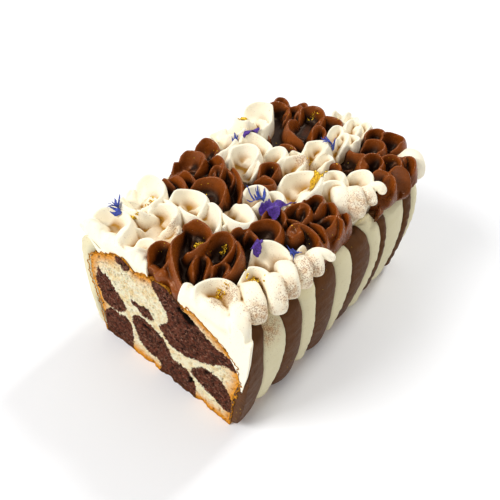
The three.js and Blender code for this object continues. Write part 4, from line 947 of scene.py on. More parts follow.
def stripe_object(name, index, edges):
    """One stripe between two edges: a swelling rib from its foot over the shoulder."""
    t = np.linspace(0, 1, STRIPE_LEVELS) ** 1.25
    u = np.linspace(0, 1, STRIPE_COLUMNS)
    first, final = index == 0, index == len(edges) - 2
    rib = mix(0.35, 1, u) if first else mix(0, 0.65, u) if final else u
    plump = np.sin(math.pi * np.clip(rib, 0, 1)).clip(0, 1) ** 0.55
    foot = -0.5 + 1.7 * math.sin(2.4 * index + 0.5)
    tt, uu = np.meshgrid(t, u, indexing="ij")
    slide = (1 - tt) ** 6 * (foot + 2.6 - 3.2 * plump[None, :])
    outer_half, outer_z, inner_half, inner_z = wall_profile(tt)
    start = edge_curve(edges[index], tt, 1.9 * index) - (0 if first else STRIPE_OVERLAP)
    end = edge_curve(edges[index + 1], tt, 1.9 * (index + 1)) + (0 if final else STRIPE_OVERLAP)
    s = mix(start, end, uu)
    height = (outer_z - outer_z[0, 0]) / 4.0
    rounding = np.sqrt(1 - np.clip(1 - height, 0, 1) ** 2)
    ripple = (0.16 * np.sin(0.9 * outer_z + 2 * index + 0.5 * np.sin(9 * uu))
              + 0.12 * np.sin(2.3 * outer_z + index))
    bulge = -CREASE_DEPTH + (RIB_DEPTH + ripple) * plump[None, :]
    if index == CORNER_STRIPE:
        bulge = bulge + CORNER_SWELL * plump[None, :] * (1 - smoothstep(s, 150, 163))
    if not first:
        bulge = bulge - FOOT_DRAWN * (1 - smoothstep(start[0, 0], 0, 32)) * (1 - smoothstep(outer_z, 4, 34))
    thickness = outer_half + bulge - inner_half
    half = inner_half + thickness * mix(0.15, 1, rounding)
    x, y = plan_point(s, half - HALF_WIDTH)
    z = outer_z + slide
    outer = np.stack([x, y, z + lean_rise(x, z)], -1)
    x, y = plan_point(s, inner_half - 0.8 - HALF_WIDTH)
    z = mix(inner_z, outer_z, 0.5) + slide
    inner = np.stack([x, y, z + lean_rise(x, z)], -1)
    rings = np.concatenate([outer, inner[:, ::-1]], 1)
    rings[..., 1] = np.maximum(rings[..., 1], ICING_SET_BACK)
    if first:
        level, *_, depth = np.array(CORNER_TONGUE, float).T
        behind = np.interp(rings[..., 2] + 2, level, depth, left=0) - 0.8
        rings[..., 1] = np.maximum(rings[..., 1], behind)
    size = 2 * STRIPE_COLUMNS
    faces = grid_faces(STRIPE_LEVELS, size, closed=True)
    for base in (0, (STRIPE_LEVELS - 1) * size):
        faces += [(base + i, base + i + 1, base + size - 2 - i, base + size - 1 - i)
                  for i in range(STRIPE_COLUMNS - 1)]
    obj = new_object(name + "_icing", rings.reshape(-1, 3), faces)
    shade_smooth(obj)
    return obj


# ---------------------------------------------------------------- sponge


# run of the sponge's outline from foot to crown, and its width, as far as they set the number of points
FACE_RUN, FACE_WIDTH = 135, 96


def sponge_rows(count):
    """Half width, height and dome depth of the sponge, level by level, evenly along its outline."""
    outline = np.array([*SPONGE_WALL, *SPONGE_DOME], float)
    run = np.concatenate([[0], np.cumsum(np.hypot(*np.diff(outline, axis=0).T))])
    fine = np.linspace(0, run[-1], 400)
    half, height = (np.interp(fine, run, outline[:, j]) for j in (0, 1))
    kernel = np.ones(21) / 21
    for values in (half, height):
        values[10:-10] = np.convolve(values, kernel, "valid")
    even = np.linspace(0, run[-1], count)
    return np.interp(even, fine, half), np.interp(even, fine, height)


def crust_knobs(x, y, z):
    """Rise of the knobbly crust, which fades back into the loaf."""
    rise = sum(height * np.exp(-(((x - across) / spread) ** 2)) for across, height, spread in CRUST_KNOBS)
    return rise * np.exp(-y / KNOB_REACH) * smoothstep(z, KNOB_START, KNOB_FULL)


def sponge_point(s, half, height):
    """A point on the outside of the loaf."""
    shoulder = SPONGE_WALL[-1][0]
    dome = height > SPONGE_WALL[-1][1]
    drawn = np.maximum(shoulder - half, 0)
    settle = smoothstep(drawn, SPINE_SETTLE, shoulder - DOME_SPINE)
    x0, y0 = plan_point(s, shoulder - HALF_WIDTH)
    end_facing = smoothstep(y0, SIDE - BACK_SLOPE, LENGTH)
    y_dome = mix(y0 - drawn * end_facing, y0 * SPINE_REACH, settle)
    x_dome = x0 * half / shoulder
    x_wall, y_wall = plan_point(s, half - HALF_WIDTH)
    x, y = np.where(dome, x_dome, x_wall), np.where(dome, y_dome, y_wall)
    z = height + lean_rise(x, height)
    return x, y, np.where(dome, z + crust_knobs(x, y, height), z)


def relief(flat, rim):
    """How deep each point of the cut face lies: crumb and torn holes, then also the crumbled foot."""
    across, height = flat[:, 0], flat[:, 2]
    depth = np.array([crumb_depth(x, z) for x, z in zip(across, height)])
    for hx, hz, radius in HOLES:
        away = np.hypot((across - hx) / 1.05, (height - hz) / 0.85)
        depth += 1.5 * radius * smoothstep(radius + 0.5 - away, 0, 1.6)
    crumbled = np.array([0.2 + noise.noise((0.17 * x, 5.0, 0.0)) + 0.35 * noise.noise((0.5 * x, 8.0, 0.0))
                         for x in across]).clip(0)
    at_foot = (1 - smoothstep(height, 0, 6)) * smoothstep(44 - np.abs(across), 0, 4)
    return depth, depth * smoothstep(rim, 0, 0.8) + FOOT_CRUMBLED * crumbled * at_foot


def sponge_object(settings):
    """The loaf: its outside, the torn cut face, the crown strip and the flat bottom."""
    grain = settings.grain / MM * 1
    rows = int(FACE_RUN / grain)
    columns = int(FACE_WIDTH / grain)
    half, height = sponge_rows(rows)
    stations = np.linspace(0, PATH / 2, 60)
    stations = np.concatenate([stations, PATH - stations[-2::-1]])
    shell = np.stack(sponge_point(stations[None, :], half[:, None], height[:, None]), -1)
    tear_rim(shell)
    right, left = shell[:, 0], shell[:, -1]
    u = np.linspace(0, 1, columns)[1:-1]
    face = right[:, None] * (1 - u)[None, :, None] + left[:, None] * u[None, :, None]
    # the crust follows its knobs right up to the cut
    x = face[..., 0]
    knobs = height[:, None] + lean_rise(x, height[:, None]) + crust_knobs(x, 0 * x, height[:, None])
    torn = mix(right[:, 2] - knobs[:, 0], left[:, 2] - knobs[:, -1], u[:, None]).T
    face[..., 2] = knobs + torn
    outline = np.concatenate([right, left[::-1]])[:, [0, 2]]
    flat = face.reshape(-1, 3)
    rim = np.abs(signed_distance(outline, flat[:, 0], flat[:, 2]))
    cocoa = np.min([signed_distance(smooth_outline(patch), flat[:, 0], flat[:, 2])
                    for patch in MARBLING.values()], axis=0)
    depth, flat[:, 1] = relief(flat, rim)
    vertices = np.concatenate([shell.reshape(-1, 3), flat])
    around = len(stations)
    base = rows * around
    inner = columns - 2
    face_ids = np.concatenate([
        (np.arange(rows) * around)[:, None],
        base + np.arange(rows * inner).reshape(rows, inner),
        (np.arange(rows) * around + around - 1)[:, None]], 1)
    quads = np.stack([face_ids[:-1, :-1], face_ids[:-1, 1:], face_ids[1:, 1:], face_ids[1:, :-1]], -1)
    faces = grid_faces(rows, around) + quads.reshape(-1, 4).tolist()
    # crown strip and flat bottom
    for row in (0, rows - 1):
        ring = [row * around + i for i in range(around)]
        ring += [int(i) for i in face_ids[row, 1:-1][::-1]]
        faces.append(tuple(ring if row else ring[::-1]))
    obj = new_object("sponge_crumb", vertices, faces)
    set_attribute(obj, "rim", np.concatenate([np.zeros(base), rim]))
    set_attribute(obj, "pit", np.concatenate([np.zeros(base), depth]))
    set_attribute(obj, "cocoa", np.concatenate([np.full(base, 4.0), cocoa]))
    shade_smooth(obj)
    return obj


def crumb_depth(x, z):
    """Depth of the crumb's fine structure behind the plane of the cut."""
    fine = noise.noise((x * 1.4, 0.0, z * 1.4))
    coarse = noise.noise((x * 0.4, 7.0, z * 0.4))
    pore = max(0.0, noise.noise((x * 0.75, 21.0, z * 0.75)) - 0.16)
    return 0.6 + 0.42 * fine + 0.34 * coarse + 4.6 * pore


# points to each stretch of a smooth outline
CURVE_STEPS = 4


def smooth_outline(outline):
    """A smooth closed curve through the points of an outline."""
    points = np.array(outline, float)
    before, after, beyond = (np.roll(points, shift, 0) for shift in (1, -1, -2))
    t = np.arange(CURVE_STEPS)[:, None, None] / CURVE_STEPS
    curve = 0.5 * (2 * points + (after - before) * t + (2 * before - 5 * points + 4 * after - beyond) * t ** 2
                   + (3 * points - before - 3 * after + beyond) * t ** 3)
    return curve.transpose(1, 0, 2).reshape(-1, 2)


def tear_rim(shell):
    """Makes the crust ragged along the cut."""
    for ring in (shell[:, 0], shell[:, -1]):
        way = np.gradient(ring[:, [0, 2]], axis=0)
        way /= np.hypot(*way.T)[:, None]
        out = np.stack([way[:, 1], -way[:, 0]], 1) * np.sign(ring[0, 0])
        tear = np.array([0.25 + 1.5 * noise.noise((x * 0.5, 3.0, z * 0.5)) + 0.7 * noise.noise((x, 9.0, z))
                         for x, _, z in ring]).clip(0)
        tear *= smoothstep(ring[:, 2], 3, 12) * TEAR
        ring[:, 0] += out[:, 0] * tear
        ring[:, 2] += out[:, 1] * tear


# ---------------------------------------------------------------- petals and gold leaf


# points of a blade: along and across; share of its length over which its tip is rounded
BLADE_ROWS, BLADE_COLUMNS = 25, 9
BLUNT = {"blue": 0.6, "violet": 0.12, "gold": 0.12}
# thickness, raggedness of the edges, and how far the blade sags on to the icing
SHEETS = {"blue": (0.28, 0.6, 0.55), "violet": (0.28, 0.6, 0.55), "gold": (0.12, 0.9, 0.85)}


def blade(lobe, thickness, seed, ragged, blunt):
    """Grid of a thin wavy blade, resting height zero at its root."""
    (x0, y0), (x1, y1), widths, rise = lobe
    t, v = np.meshgrid(np.linspace(0, 1, BLADE_ROWS), np.linspace(-1, 1, BLADE_COLUMNS), indexing="ij")
    width = np.interp(t, np.linspace(0, 1, len(widths)), widths) * 0.5
    tip = np.sqrt(np.clip((1.0 - t) / blunt, 0.03, 1))
    edge = 1 + ragged * (0.22 * np.sin(13 * t + seed) + 0.16 * np.sin(29 * t + 2.1 * seed) * np.sign(v))
    run = math.hypot(x1 - x0, y1 - y0)
    hx, hy = (x1 - x0) / run, (y1 - y0) / run
    offset = v * width * tip * edge
    sway = 0.35 * np.sin(3.1 * t + seed)
    x = mix(x0, x1, t) - hy * (offset + sway * t)
    y = mix(y0, y1, t) + hx * (offset + sway * t)
    fold = 0.35 * v * v * width * np.cos(4.4 * t + seed)
    z = rise * t * t + fold + 0.3 * np.sin(9 * t + 1.7 * seed) * t + 0.15 * np.sin(6 * v + 5 * t + seed)
    top = np.stack([x, y, z + thickness], -1)
    bottom = np.stack([x, y, z], -1)
    keep = np.ones((BLADE_ROWS - 1, BLADE_COLUMNS - 1), bool)
    return height_block(top, bottom, keep)


def surface_reader(objects):
    """A function that gives the height of the icing, in millimetres, at a point of the plan."""
    trees = [BVHTree.FromObject(obj, bpy.context.evaluated_depsgraph_get()) for obj in objects]

    def height(x, y):
        start = Vector((x, y - LENGTH / 2, 110)) * MM
        hits = [tree.ray_cast(start, Vector((0, 0, -1)))[0] for tree in trees]
        return max([hit.z / MM for hit in hits if hit is not None], default=60.0)

    return height


def lay_down(points, height, drape, clearance):
    """Lowers points until they rest on the icing, then lets them sag on to it by the share given."""
    under = np.array([height(x, y) for x, y, _ in points])
    rest = (under - points[:, 2]).max() + clearance
    rigid = points[:, 2] + rest
    loose = under + clearance + 0.25 * (points[:, 2] - points[:, 2].min())
    return np.column_stack([points[:, :2], mix(rigid, np.minimum(loose, rigid), drape)])


def fan_out(lobe):
    """Splits one lobe into three narrow ones from the same root."""
    (x0, y0), (x1, y1), widths, rise = lobe
    for turn, reach in ((-0.42, 0.78), (0.0, 1.0), (0.38, 0.72)):
        c, s = reach * math.cos(turn), reach * math.sin(turn)
        end = (x0 + c * (x1 - x0) - s * (y1 - y0), y0 + s * (x1 - x0) + c * (y1 - y0))
        yield (x0, y0), end, tuple(0.5 * w for w in widths), rise + 1.2 * abs(turn)


def topping_object(name, spec, height):
    """A petal or a scrap of gold leaf: its lobes, each laid over the one before."""
    kind = name.split("_")[0]
    thickness, ragged, sag = SHEETS[kind]
    if kind == "blue":
        spec = [narrow for lobe in spec for narrow in fan_out(lobe)]
    vertices, faces = [], []
    for k, lobe in enumerate(spec):
        points, quads = blade(lobe, thickness, 2.3 * k + len(name), ragged, BLUNT[kind])
        faces += [tuple(int(i) + len(vertices) for i in q) for q in quads]
        vertices += lay_down(points, height, sag, 0.15 + 0.3 * k).tolist()
    obj = new_object(name + "_leaf", vertices, faces)
    shade_smooth(obj)
    return obj


def flakes_object(name, places, height):
    """Crumpled shards of gold leaf, heaped where the places say: x, y, length, breadth and turn."""
    random = np.random.default_rng(len(name))
    vertices, faces = [], []
    for x, y, long, broad, turn in places:
        c, s = math.cos(math.radians(turn)), math.sin(math.radians(turn))
        for _ in range(int(7 * long)):
            along, across = random.normal(0, 0.33, 2) * (long, broad)
            centre = np.array((x + c * along - s * across, y + s * along + c * across))
            size = random.uniform(0.45, 1.25)
            angles = np.sort(random.uniform(0, 2 * math.pi, 5))
            rim = size * np.stack([np.cos(angles), np.sin(angles)], 1) * random.uniform(0.6, 1, (5, 1))
            rim = centre + rim
            tilt = random.normal(0, 0.45, 2)
            base = height(*centre) + random.uniform(0.1, 0.7)
            z = base + (rim - centre) @ tilt
            start = len(vertices)
            vertices += [(*p, h + lift) for lift in (0, 0.12) for p, h in zip(rim, z)]
            faces += [tuple(start + i for i in (4, 3, 2, 1, 0)), tuple(start + 5 + i for i in range(5))]
            faces += [(start + i, start + (i + 1) % 5, start + 5 + (i + 1) % 5, start + 5 + i)
                      for i in range(5)]
    obj = new_object(name + "_flakes", vertices, faces)
    return obj


# ---------------------------------------------------------------- materials


class Graph:
    """Short forms for building a material's nodes."""

    def __init__(self, name):
        self.material = bpy.data.materials.new(name)
        self.material.use_nodes = True
        self.tree = self.material.node_tree
        self.shader = self.tree.nodes["Principled BSDF"]
        self.place = self.node("ShaderNodeTexCoord").outputs["Object"]

    def node(self, kind, **settings):
        made = self.tree.nodes.new(kind)
        for key, value in settings.items():
            setattr(made, key, value)
        return made

    def feed(self, socket, value):
        if isinstance(value, bpy.types.NodeSocket):
            self.tree.links.new(value, socket)
        elif hasattr(value, "__len__"):
            value = tuple(value)
            socket.default_value = value + (1,) if socket.type == "RGBA" and len(value) == 3 else value
        else:
            socket.default_value = value

    def set(self, **values):
        for key, value in values.items():
            self.feed(self.shader.inputs[key.replace("_", " ")], value)

    def math(self, operation, *values, clamp=False):
        made = self.node("ShaderNodeMath", operation=operation, use_clamp=clamp)
        for socket, value in zip(made.inputs, values):
            self.feed(socket, value)
        return made.outputs[0]

    def times(self, a, b):
        return self.math("MULTIPLY", a, b)

    def plus(self, a, b, clamp=False):
        return self.math("ADD", a, b, clamp=clamp)

    def minus(self, a, b):
        return self.math("SUBTRACT", a, b)

    def vector(self, operation, *values):
        made = self.node("ShaderNodeVectorMath", operation=operation)
        for socket, value in zip(made.inputs, values):
            self.feed(socket, value)
        return made.outputs["Value" if operation == "DISTANCE" else "Vector"]

    def mix(self, amount, a, b):
        made = self.node("ShaderNodeMix", data_type="RGBA")
        self.feed(made.inputs["Factor"], amount)
        self.feed(made.inputs[6], a)
        self.feed(made.inputs[7], b)
        return made.outputs[2]

    def step(self, value, low, high, to_low=0.0, to_high=1.0):
        """Runs smoothly from to_low, where value is low, to to_high, where it is high."""
        made = self.node("ShaderNodeMapRange", interpolation_type="SMOOTHSTEP")
        for socket, number in zip(made.inputs, (value, low, high, to_low, to_high)):
            self.feed(socket, number)
        return made.outputs[0]

    def noise(self, size, detail=3.0, roughness=0.55, seed=0.0):
        """Soft noise whose features are about size millimetres across."""
        made = self.node("ShaderNodeTexNoise", noise_dimensions="3D")
        moved = self.vector("ADD", self.place, (seed, seed * 0.7, -seed * 0.4))
        for key, value in (("Vector", moved), ("Scale", 1 / (size * MM)), ("Detail", detail),
                           ("Roughness", roughness)):
            self.feed(made.inputs[key], value)
        return made.outputs["Fac"]

    def cells(self, size, output="Distance", seed=0.0):
        """Irregular cells about size millimetres across: distance to the middle of each, or its colour."""
        made = self.node("ShaderNodeTexVoronoi")
        moved = self.vector("ADD", self.place, (seed, seed * 1.3, seed * 0.6))
        for key, value in (("Vector", moved), ("Scale", 1 / (size * MM))):
            self.feed(made.inputs[key], value)
        return made.outputs[output]

    def attribute(self, name):
        return self.node("ShaderNodeAttribute", attribute_name=name).outputs["Fac"]

    def specks(self, size, radius, share, seed=0.0):
        """Small round specks: one for some of the cells of the given size."""
        distance = self.cells(size, seed=seed)
        pick = self.node("ShaderNodeSeparateColor")
        self.feed(pick.inputs[0], self.cells(size, "Color", seed=seed))
        chosen = self.math("LESS_THAN", pick.outputs[0], share)
        reach = self.times(pick.outputs[1], radius)
        return self.times(chosen, self.step(distance, reach, self.plus(reach, 0.08), 1, 0))

    def bump(self, height, strength, distance):
        made = self.node("ShaderNodeBump")
        for key, value in (("Strength", strength), ("Distance", distance * MM), ("Height", height)):
            self.feed(made.inputs[key], value)
        return made.outputs[0]

    def facing_up(self):
        part = self.node("ShaderNodeSeparateXYZ")
        self.feed(part.inputs[0], self.node("ShaderNodeNewGeometry").outputs["Normal"])
        return part.outputs[2]


def cream_material(name, icing, wall):
    """Buttercream with cocoa dusted on it, tan painted shade in its hollows and a tan wash over the dusted
    places that is partly painted shade; wall is the smoother icing of the sides, in a cream painted darker as
    shade.
    """
    g = Graph(name)
    # the side stripes take the darker cream, which paints the shade on the walls
    light = icing.cream_wall if wall else icing.cream
    # painted shade: the cream turns tan where it lies deep between the folds and in the creases
    shade = g.times(g.step(g.attribute("deep"), -0.5, 5.0), 0.75)
    creases = g.times(g.step(g.attribute("hollow"), 0.05, 0.9), 0.75)
    shade = g.plus(shade, creases, clamp=True)
    base = light if wall else g.mix(shade, light, icing.cream_painted_shade)
    patch = g.step(g.noise(14, 2, seed=0.31), 0.45, 0.65, 0.25, 1)
    dust_and_shade_heap = None
    for x, y, z, reach in DUSTED_AND_SHADED:
        away = g.vector("DISTANCE", g.place, (x * MM, (y - LENGTH / 2) * MM, z * MM))
        near = g.step(away, 0.2 * reach * MM, reach * MM, 1, 0)
        dust_and_shade_heap = near if dust_and_shade_heap is None else g.math("MAXIMUM", dust_and_shade_heap, near)
    up = g.step(g.facing_up(), -0.9, 0.4)
    grain = g.noise(0.6, 2, 0.6, seed=0.4)
    level = g.minus(0.71 - 0.05 * icing.dust, g.times(patch, 0.1 * icing.dust))
    level = g.minus(level, g.times(dust_and_shade_heap, 0.2))
    dust = g.step(grain, level, g.plus(level, 0.05))
    dusted = g.times(dust, up)
    smear = g.times(dust_and_shade_heap, g.step(g.noise(3, 3, seed=0.9), 0.42, 0.64, 0, 0.65))
    base = g.mix(smear, base, (0.62, 0.30, 0.09))
    # partly cocoa and partly painted shade: a tan wash over the dusted places, which darkens the right-hand
    # fingers
    base = g.mix(g.times(dust_and_shade_heap, 0.35), base, (0.62, 0.50, 0.30))
    colour = g.mix(g.times(dusted, 0.6), base, icing.cocoa)
    pits = g.specks(2.2, 0.16, 0.5, seed=0.71)
    soft = g.noise(2.6, 4, seed=0.5)
    height = g.minus(g.times(soft, 0.6), g.times(pits, 0.9))
    g.set(Base_Color=colour, Roughness=0.5, Normal=g.bump(height, 0.5, 0.25), Subsurface_Weight=0.06,
          Subsurface_Radius=(1.0, 0.9, 0.6), Subsurface_Scale=1.0 * MM, Specular_IOR_Level=0.25)
    return g.material


def chocolate_material(name, icing, toppings, wall):
    """Chocolate buttercream with bubbles and specks of gold; on the folds, near-black painted shade in the
    creases and a painted highlight on the lips.
    """
    g = Graph(name)
    light = icing.chocolate_wall if wall else icing.chocolate
    # painted shade: the chocolate turns near black where it lies deep between the folds and in the creases
    shade = g.times(g.step(g.attribute("deep"), -2.0, 3.8), 0.95)
    creases = g.times(g.step(g.attribute("hollow"), -0.1, 0.6), 0.5)
    shade = g.plus(shade, creases, clamp=True)
    base = light if wall else g.mix(shade, light, icing.chocolate_shade_and_streak)
    # painted highlight: the convex lips of the chocolate folds are painted a lighter brown
    if not wall:
        base = g.mix(g.step(g.attribute("hollow"), -1.5, -0.45, 0.5, 0), base, (0.36, 0.155, 0.065))
    streak = g.step(g.noise(5, 3, seed=0.2), 0.3, 0.75)
    base = g.mix(g.times(streak, 0.25), base, icing.chocolate_shade_and_streak)
    patch = g.step(g.noise(18, 2, seed=0.93), 0.5, 0.62)
    gold = g.specks(1.1, 0.22, g.times(patch, 0.08 if wall else 0.22), seed=0.4)
    colour = g.mix(gold, base, toppings.gold)
    soft = g.noise(1.8, 4, seed=0.5)
    bubbles = g.specks(1.6, 0.2, 0.35, seed=0.77)
    grit = g.times(g.noise(0.55, 2, 0.7, seed=0.12), 0.35)
    swell = g.minus(g.times(soft, 0.8), g.times(bubbles, 0.8))
    height = g.plus(grit, swell)
    rough = g.step(g.noise(3, 2, seed=0.8), 0.3, 0.7, *((0.5, 0.62) if wall else (0.16, 0.34)))
    if not wall:
        rough = g.plus(rough, g.times(shade, 0.2))
    g.set(Base_Color=colour, Roughness=rough, Metallic=g.times(gold, 0.9),
          Normal=g.bump(height, 0.8, 0.35), Specular_IOR_Level=0.15 if wall else 0.4,
          Specular_Tint=(1.0, 0.66, 0.44, 1.0))
    return g.material


def sponge_material(settings):
    """Pale and dark crumb with a golden baked rim; the holes are painted darker, as painted shade."""
    g = Graph("marbled_sponge")
    rim, pit = g.attribute("rim"), g.attribute("pit")
    rough = g.minus(g.noise(1.7, 4, 0.6, seed=0.3), 0.5)
    fine = g.minus(g.noise(0.6, 3, 0.7, seed=0.62), 0.5)
    ragged = g.plus(g.times(rough, 3.6), g.times(fine, 1.6))
    dark = g.step(g.plus(g.attribute("cocoa"), ragged), -0.35, 0.35, 1, 0)
    speckle = g.noise(2.3, 4, 0.72, seed=0.3)
    patch = g.noise(7, 3, 0.6, seed=0.44)
    vanilla = g.mix(g.step(speckle, 0.46, 0.78), settings.vanilla, (0.90, 0.58, 0.22))
    vanilla = g.mix(g.times(g.step(patch, 0.45, 0.66), 0.6), vanilla, (0.92, 0.66, 0.29))
    # painted shade: the torn holes and pores of the pale crumb are painted brown
    vanilla = g.mix(g.step(pit, 1.2, 3.0), vanilla, (0.56, 0.29, 0.07))
    chocolate = g.mix(g.step(speckle, 0.38, 0.62), settings.chocolate, (0.030, 0.011, 0.006))
    light_crumb = g.step(g.noise(1.4, 3, 0.7, seed=0.55), 0.52, 0.66, 0, 0.8)
    chocolate = g.mix(light_crumb, chocolate, (0.34, 0.16, 0.10))
    chocolate = g.mix(g.times(g.step(patch, 0.4, 0.7), 0.45), chocolate, (0.115, 0.042, 0.022))
    # painted shade: the holes of the dark crumb are painted near black
    chocolate = g.mix(g.step(pit, 0.8, 1.9), chocolate, (0.007, 0.003, 0.002))
    width = settings.crust_width / MM
    depth = g.plus(rim, g.times(rough, 3.0))
    baked = g.mix(g.step(depth, width, 3.6 * width, 0.35, 0), vanilla, settings.crust)
    baked = g.mix(g.step(depth, 0.1 * width, 2.1 * width, 1, 0), baked, settings.crust)
    baked = g.mix(g.step(depth, 0.0, 0.4 * width, 0.6, 0), baked, (0.36, 0.14, 0.02))
    baked_dark = g.mix(g.step(depth, 0.0, 0.55 * width, 1, 0), chocolate, (0.10, 0.034, 0.010))
    colour = g.mix(dark, baked, baked_dark)
    height = g.plus(g.times(g.noise(0.7, 3, 0.7, seed=0.9), 0.8), g.times(g.noise(2.2, 3, seed=0.15), 0.5))
    g.set(Base_Color=colour, Roughness=0.85, Normal=g.bump(height, 1.0, 1.3), Specular_IOR_Level=0.12,
          Subsurface_Weight=0.08, Subsurface_Radius=(1.0, 0.6, 0.3), Subsurface_Scale=1.0 * MM)
    return g.material


def petal_material(name, tint):
    """A dried petal, darker along its veins and paler in patches."""
    g = Graph(name)
    deep = tuple(c * 0.22 for c in tint)
    veins = g.noise(0.8, 4, 0.7, seed=0.2)
    colour = g.mix(g.step(veins, 0.35, 0.7), tint, deep)
    pale = tuple(min(1, c * 1.7 + 0.04) for c in tint)
    colour = g.mix(g.times(g.step(g.noise(2.2, 2, seed=0.7), 0.55, 0.75), 0.6), colour, pale)
    g.set(Base_Color=colour, Roughness=0.6, Normal=g.bump(veins, 0.9, 0.35), Sheen_Weight=0.15)
    return g.material


def gold_material(tint):
    """Crumpled gold leaf."""
    g = Graph("gold_leaf")
    crumple = g.noise(1.3, 4, 0.65, seed=0.2)
    colour = g.mix(g.step(crumple, 0.45, 0.7), tint, (0.30, 0.13, 0.01))
    g.set(Base_Color=colour, Metallic=0.85, Roughness=0.32, Normal=g.bump(crumple, 1.0, 0.9))
    return g.material


def floor_material(tint):
    g = Graph("pale_floor")
    shade = g.mix(g.times(g.noise(90, 3), 0.06), tint, (0.5, 0.5, 0.52))
    g.set(Base_Color=shade, Roughness=0.55)
    return g.material


# ---------------------------------------------------------------- operators


def stand_in(obj, node, slot, material):
    """Makes obj ride on the cake in place of a solid node."""
    if node not in frame["nodes"]:
        raise RuntimeError("the frame has no node named " + node)
    obj.data.materials.clear()
    obj.data.materials.append(material)
    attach(obj, "root")
    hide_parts(node)


class CAKE_OT_sponge(bpy.types.Operator):
    """Marbled sponge with its cut face"""

    bl_idname = "cake.sponge"
    bl_label = "Sponge"

    def execute(self, context):
        settings = context.scene.cake_sponge
        stand_in(sponge_object(settings), "sponge", "sponge", sponge_material(settings))
        return {"FINISHED"}


class CAKE_OT_stripes(bpy.types.Operator):
    """Striped buttercream on the sides"""

    bl_idname = "cake.stripes"
    bl_label = "Wall stripes"

    def execute(self, context):
        icing, toppings = context.scene.cake_icing, context.scene.cake_toppings
        looks = {"cream": cream_material("cream_wall", icing, True),
                 "chocolate": chocolate_material("chocolate_wall", icing, toppings, True)}
        edges = stripe_edges()
        for i in range(len(edges) - 1):
            kind = "chocolate" if i % 2 == 0 else "cream"
            node = f"{kind}_stripe_{i + 1:02d}"
            stand_in(stripe_object(node, i, edges), node, kind + "_wall", looks[kind])
        return {"FINISHED"}


class CAKE_OT_ruffles(bpy.types.Operator):
    """Piped ruffles over the top"""

    bl_idname = "cake.ruffles"
    bl_label = "Ruffles"

    def execute(self, context):
        icing, toppings = context.scene.cake_icing, context.scene.cake_toppings
        looks = {"cream": cream_material("cream_ruffle", icing, False),
                 "chocolate": chocolate_material("chocolate_ruffle", icing, toppings, False)}
        piped = []
        for node, spec in RUFFLES.items():
            kind = node.split("_")[0]
            piped.append(ruffle_object(node, spec, icing))
            stand_in(piped[-1], node, kind + "_ruffle", looks[kind])
        mark_depths(piped)
        return {"FINISHED"}


class CAKE_OT_toppings(bpy.types.Operator):
    """Petals and gold leaf lying on the ruffles"""

    bl_idname = "cake.toppings"
    bl_label = "Petals and gold leaf"

    def execute(self, context):
        toppings = context.scene.cake_toppings
        piped = [o for o in bpy.data.objects if o.name.endswith("_piped")]
        if not piped:
            raise RuntimeError("the ruffles have to be made before the toppings")
        height = surface_reader(piped)
        looks = {"violet": (petal_material("violet_petal", tuple(toppings.violet)), "violet_petal"),
                 "blue": (petal_material("blue_petal", tuple(toppings.blue)), "blue_petal"),
                 "gold": (gold_material(tuple(toppings.gold)), "gold_leaf")}
        for node, lobes in TOPPINGS.items():
            material, slot = looks[node.split("_")[0]]
            stand_in(topping_object(node, lobes, height), node, slot, material)
        for node, places in FLAKES.items():
            flakes = flakes_object(node, places, height)
            flakes.data.materials.append(looks["gold"][0])
            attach(flakes, "root")
        return {"FINISHED"}


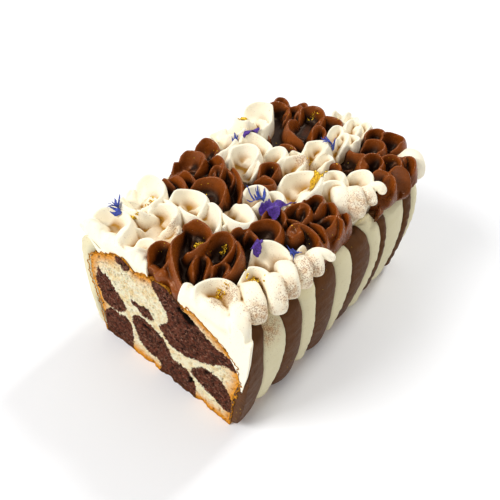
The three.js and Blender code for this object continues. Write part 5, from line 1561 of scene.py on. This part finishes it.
class CAKE_OT_stage(bpy.types.Operator):
    """Floor, light and camera"""

    bl_idname = "cake.stage"
    bl_label = "Stage"

    def execute(self, context):
        settings = context.scene.cake_stage
        bpy.ops.mesh.primitive_plane_add(size=4)
        floor = context.object
        floor.name = "floor"
        floor.data.materials.append(floor_material(settings.floor))
        floor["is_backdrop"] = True
        world = bpy.data.worlds.new("soft_room")
        world.use_nodes = True
        sky = world.node_tree.nodes["Background"].inputs
        sky[0].default_value, sky[1].default_value = (1.0, 1.0, 1.0, 1), settings.ambient
        context.scene.world = world
        context.scene.view_settings.view_transform = "Standard"
        for place, share, size in LAMPS:
            lamp = bpy.data.lights.new("soft_light", "AREA")
            lamp.energy, lamp.size = settings.key * share, size
            holder = bpy.data.objects.new("soft_light", lamp)
            holder.location = place
            holder.rotation_mode = "QUATERNION"
            holder.rotation_quaternion = (Vector(LAMPS_AIM) - Vector(place)).to_track_quat("-Z", "Y")
            context.scene.collection.objects.link(holder)
        yaw, pitch, roll = (math.radians(v) for v in CAMERA_ANGLES)
        back = Vector((math.sin(yaw) * math.cos(pitch), -math.cos(yaw) * math.cos(pitch), math.sin(pitch)))
        lens = bpy.data.cameras.new("camera")
        lens.lens, lens.sensor_width = settings.focal, 36
        camera = bpy.data.objects.new("camera", lens)
        camera.location = (Vector(CAMERA_TARGET) + back * CAMERA_DISTANCE) * MM
        camera.rotation_mode = "QUATERNION"
        camera.rotation_quaternion = (-back).to_track_quat("-Z", "Y") @ Quaternion((0, 0, 1), roll)
        lens.clip_start = 0.01
        context.scene.collection.objects.link(camera)
        context.scene.camera = camera
        return {"FINISHED"}


class CAKE_PT_panel(bpy.types.Panel):
    """Sizes, colours and the steps that make the cake"""

    bl_label = "Marble loaf cake"
    bl_idname = "CAKE_PT_panel"
    bl_space_type = "VIEW_3D"
    bl_region_type = "UI"
    bl_category = "Cake"

    def draw(self, context):
        for group in GROUPS:
            box = self.layout.box()
            box.label(text=group.__doc__)
            settings = getattr(context.scene, GROUPS[group])
            for key in group.__annotations__:
                box.prop(settings, key)
        for operator in OPERATORS:
            self.layout.operator(operator.bl_idname)


GROUPS = {CakeIcing: "cake_icing", CakeSponge: "cake_sponge", CakeToppings: "cake_toppings",
          CakeStage: "cake_stage"}
OPERATORS = (CAKE_OT_sponge, CAKE_OT_stripes, CAKE_OT_ruffles, CAKE_OT_toppings, CAKE_OT_stage)


def register():
    for item in (*GROUPS, *OPERATORS, CAKE_PT_panel):
        bpy.utils.register_class(item)
    for group, name in GROUPS.items():
        setattr(bpy.types.Scene, name, bpy.props.PointerProperty(type=group))


def unregister():
    for name in GROUPS.values():
        delattr(bpy.types.Scene, name)
    for item in (CAKE_PT_panel, *OPERATORS[::-1], *list(GROUPS)[::-1]):
        bpy.utils.unregister_class(item)


def corners():
    return [list(corner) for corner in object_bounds()]


def main():
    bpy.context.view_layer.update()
    register()
    bpy.ops.cake.sponge()
    bpy.ops.cake.stripes()
    bpy.ops.cake.ruffles()
    bpy.ops.cake.toppings()
    bpy.ops.cake.stage()


if __name__ == "__main__":
    main()
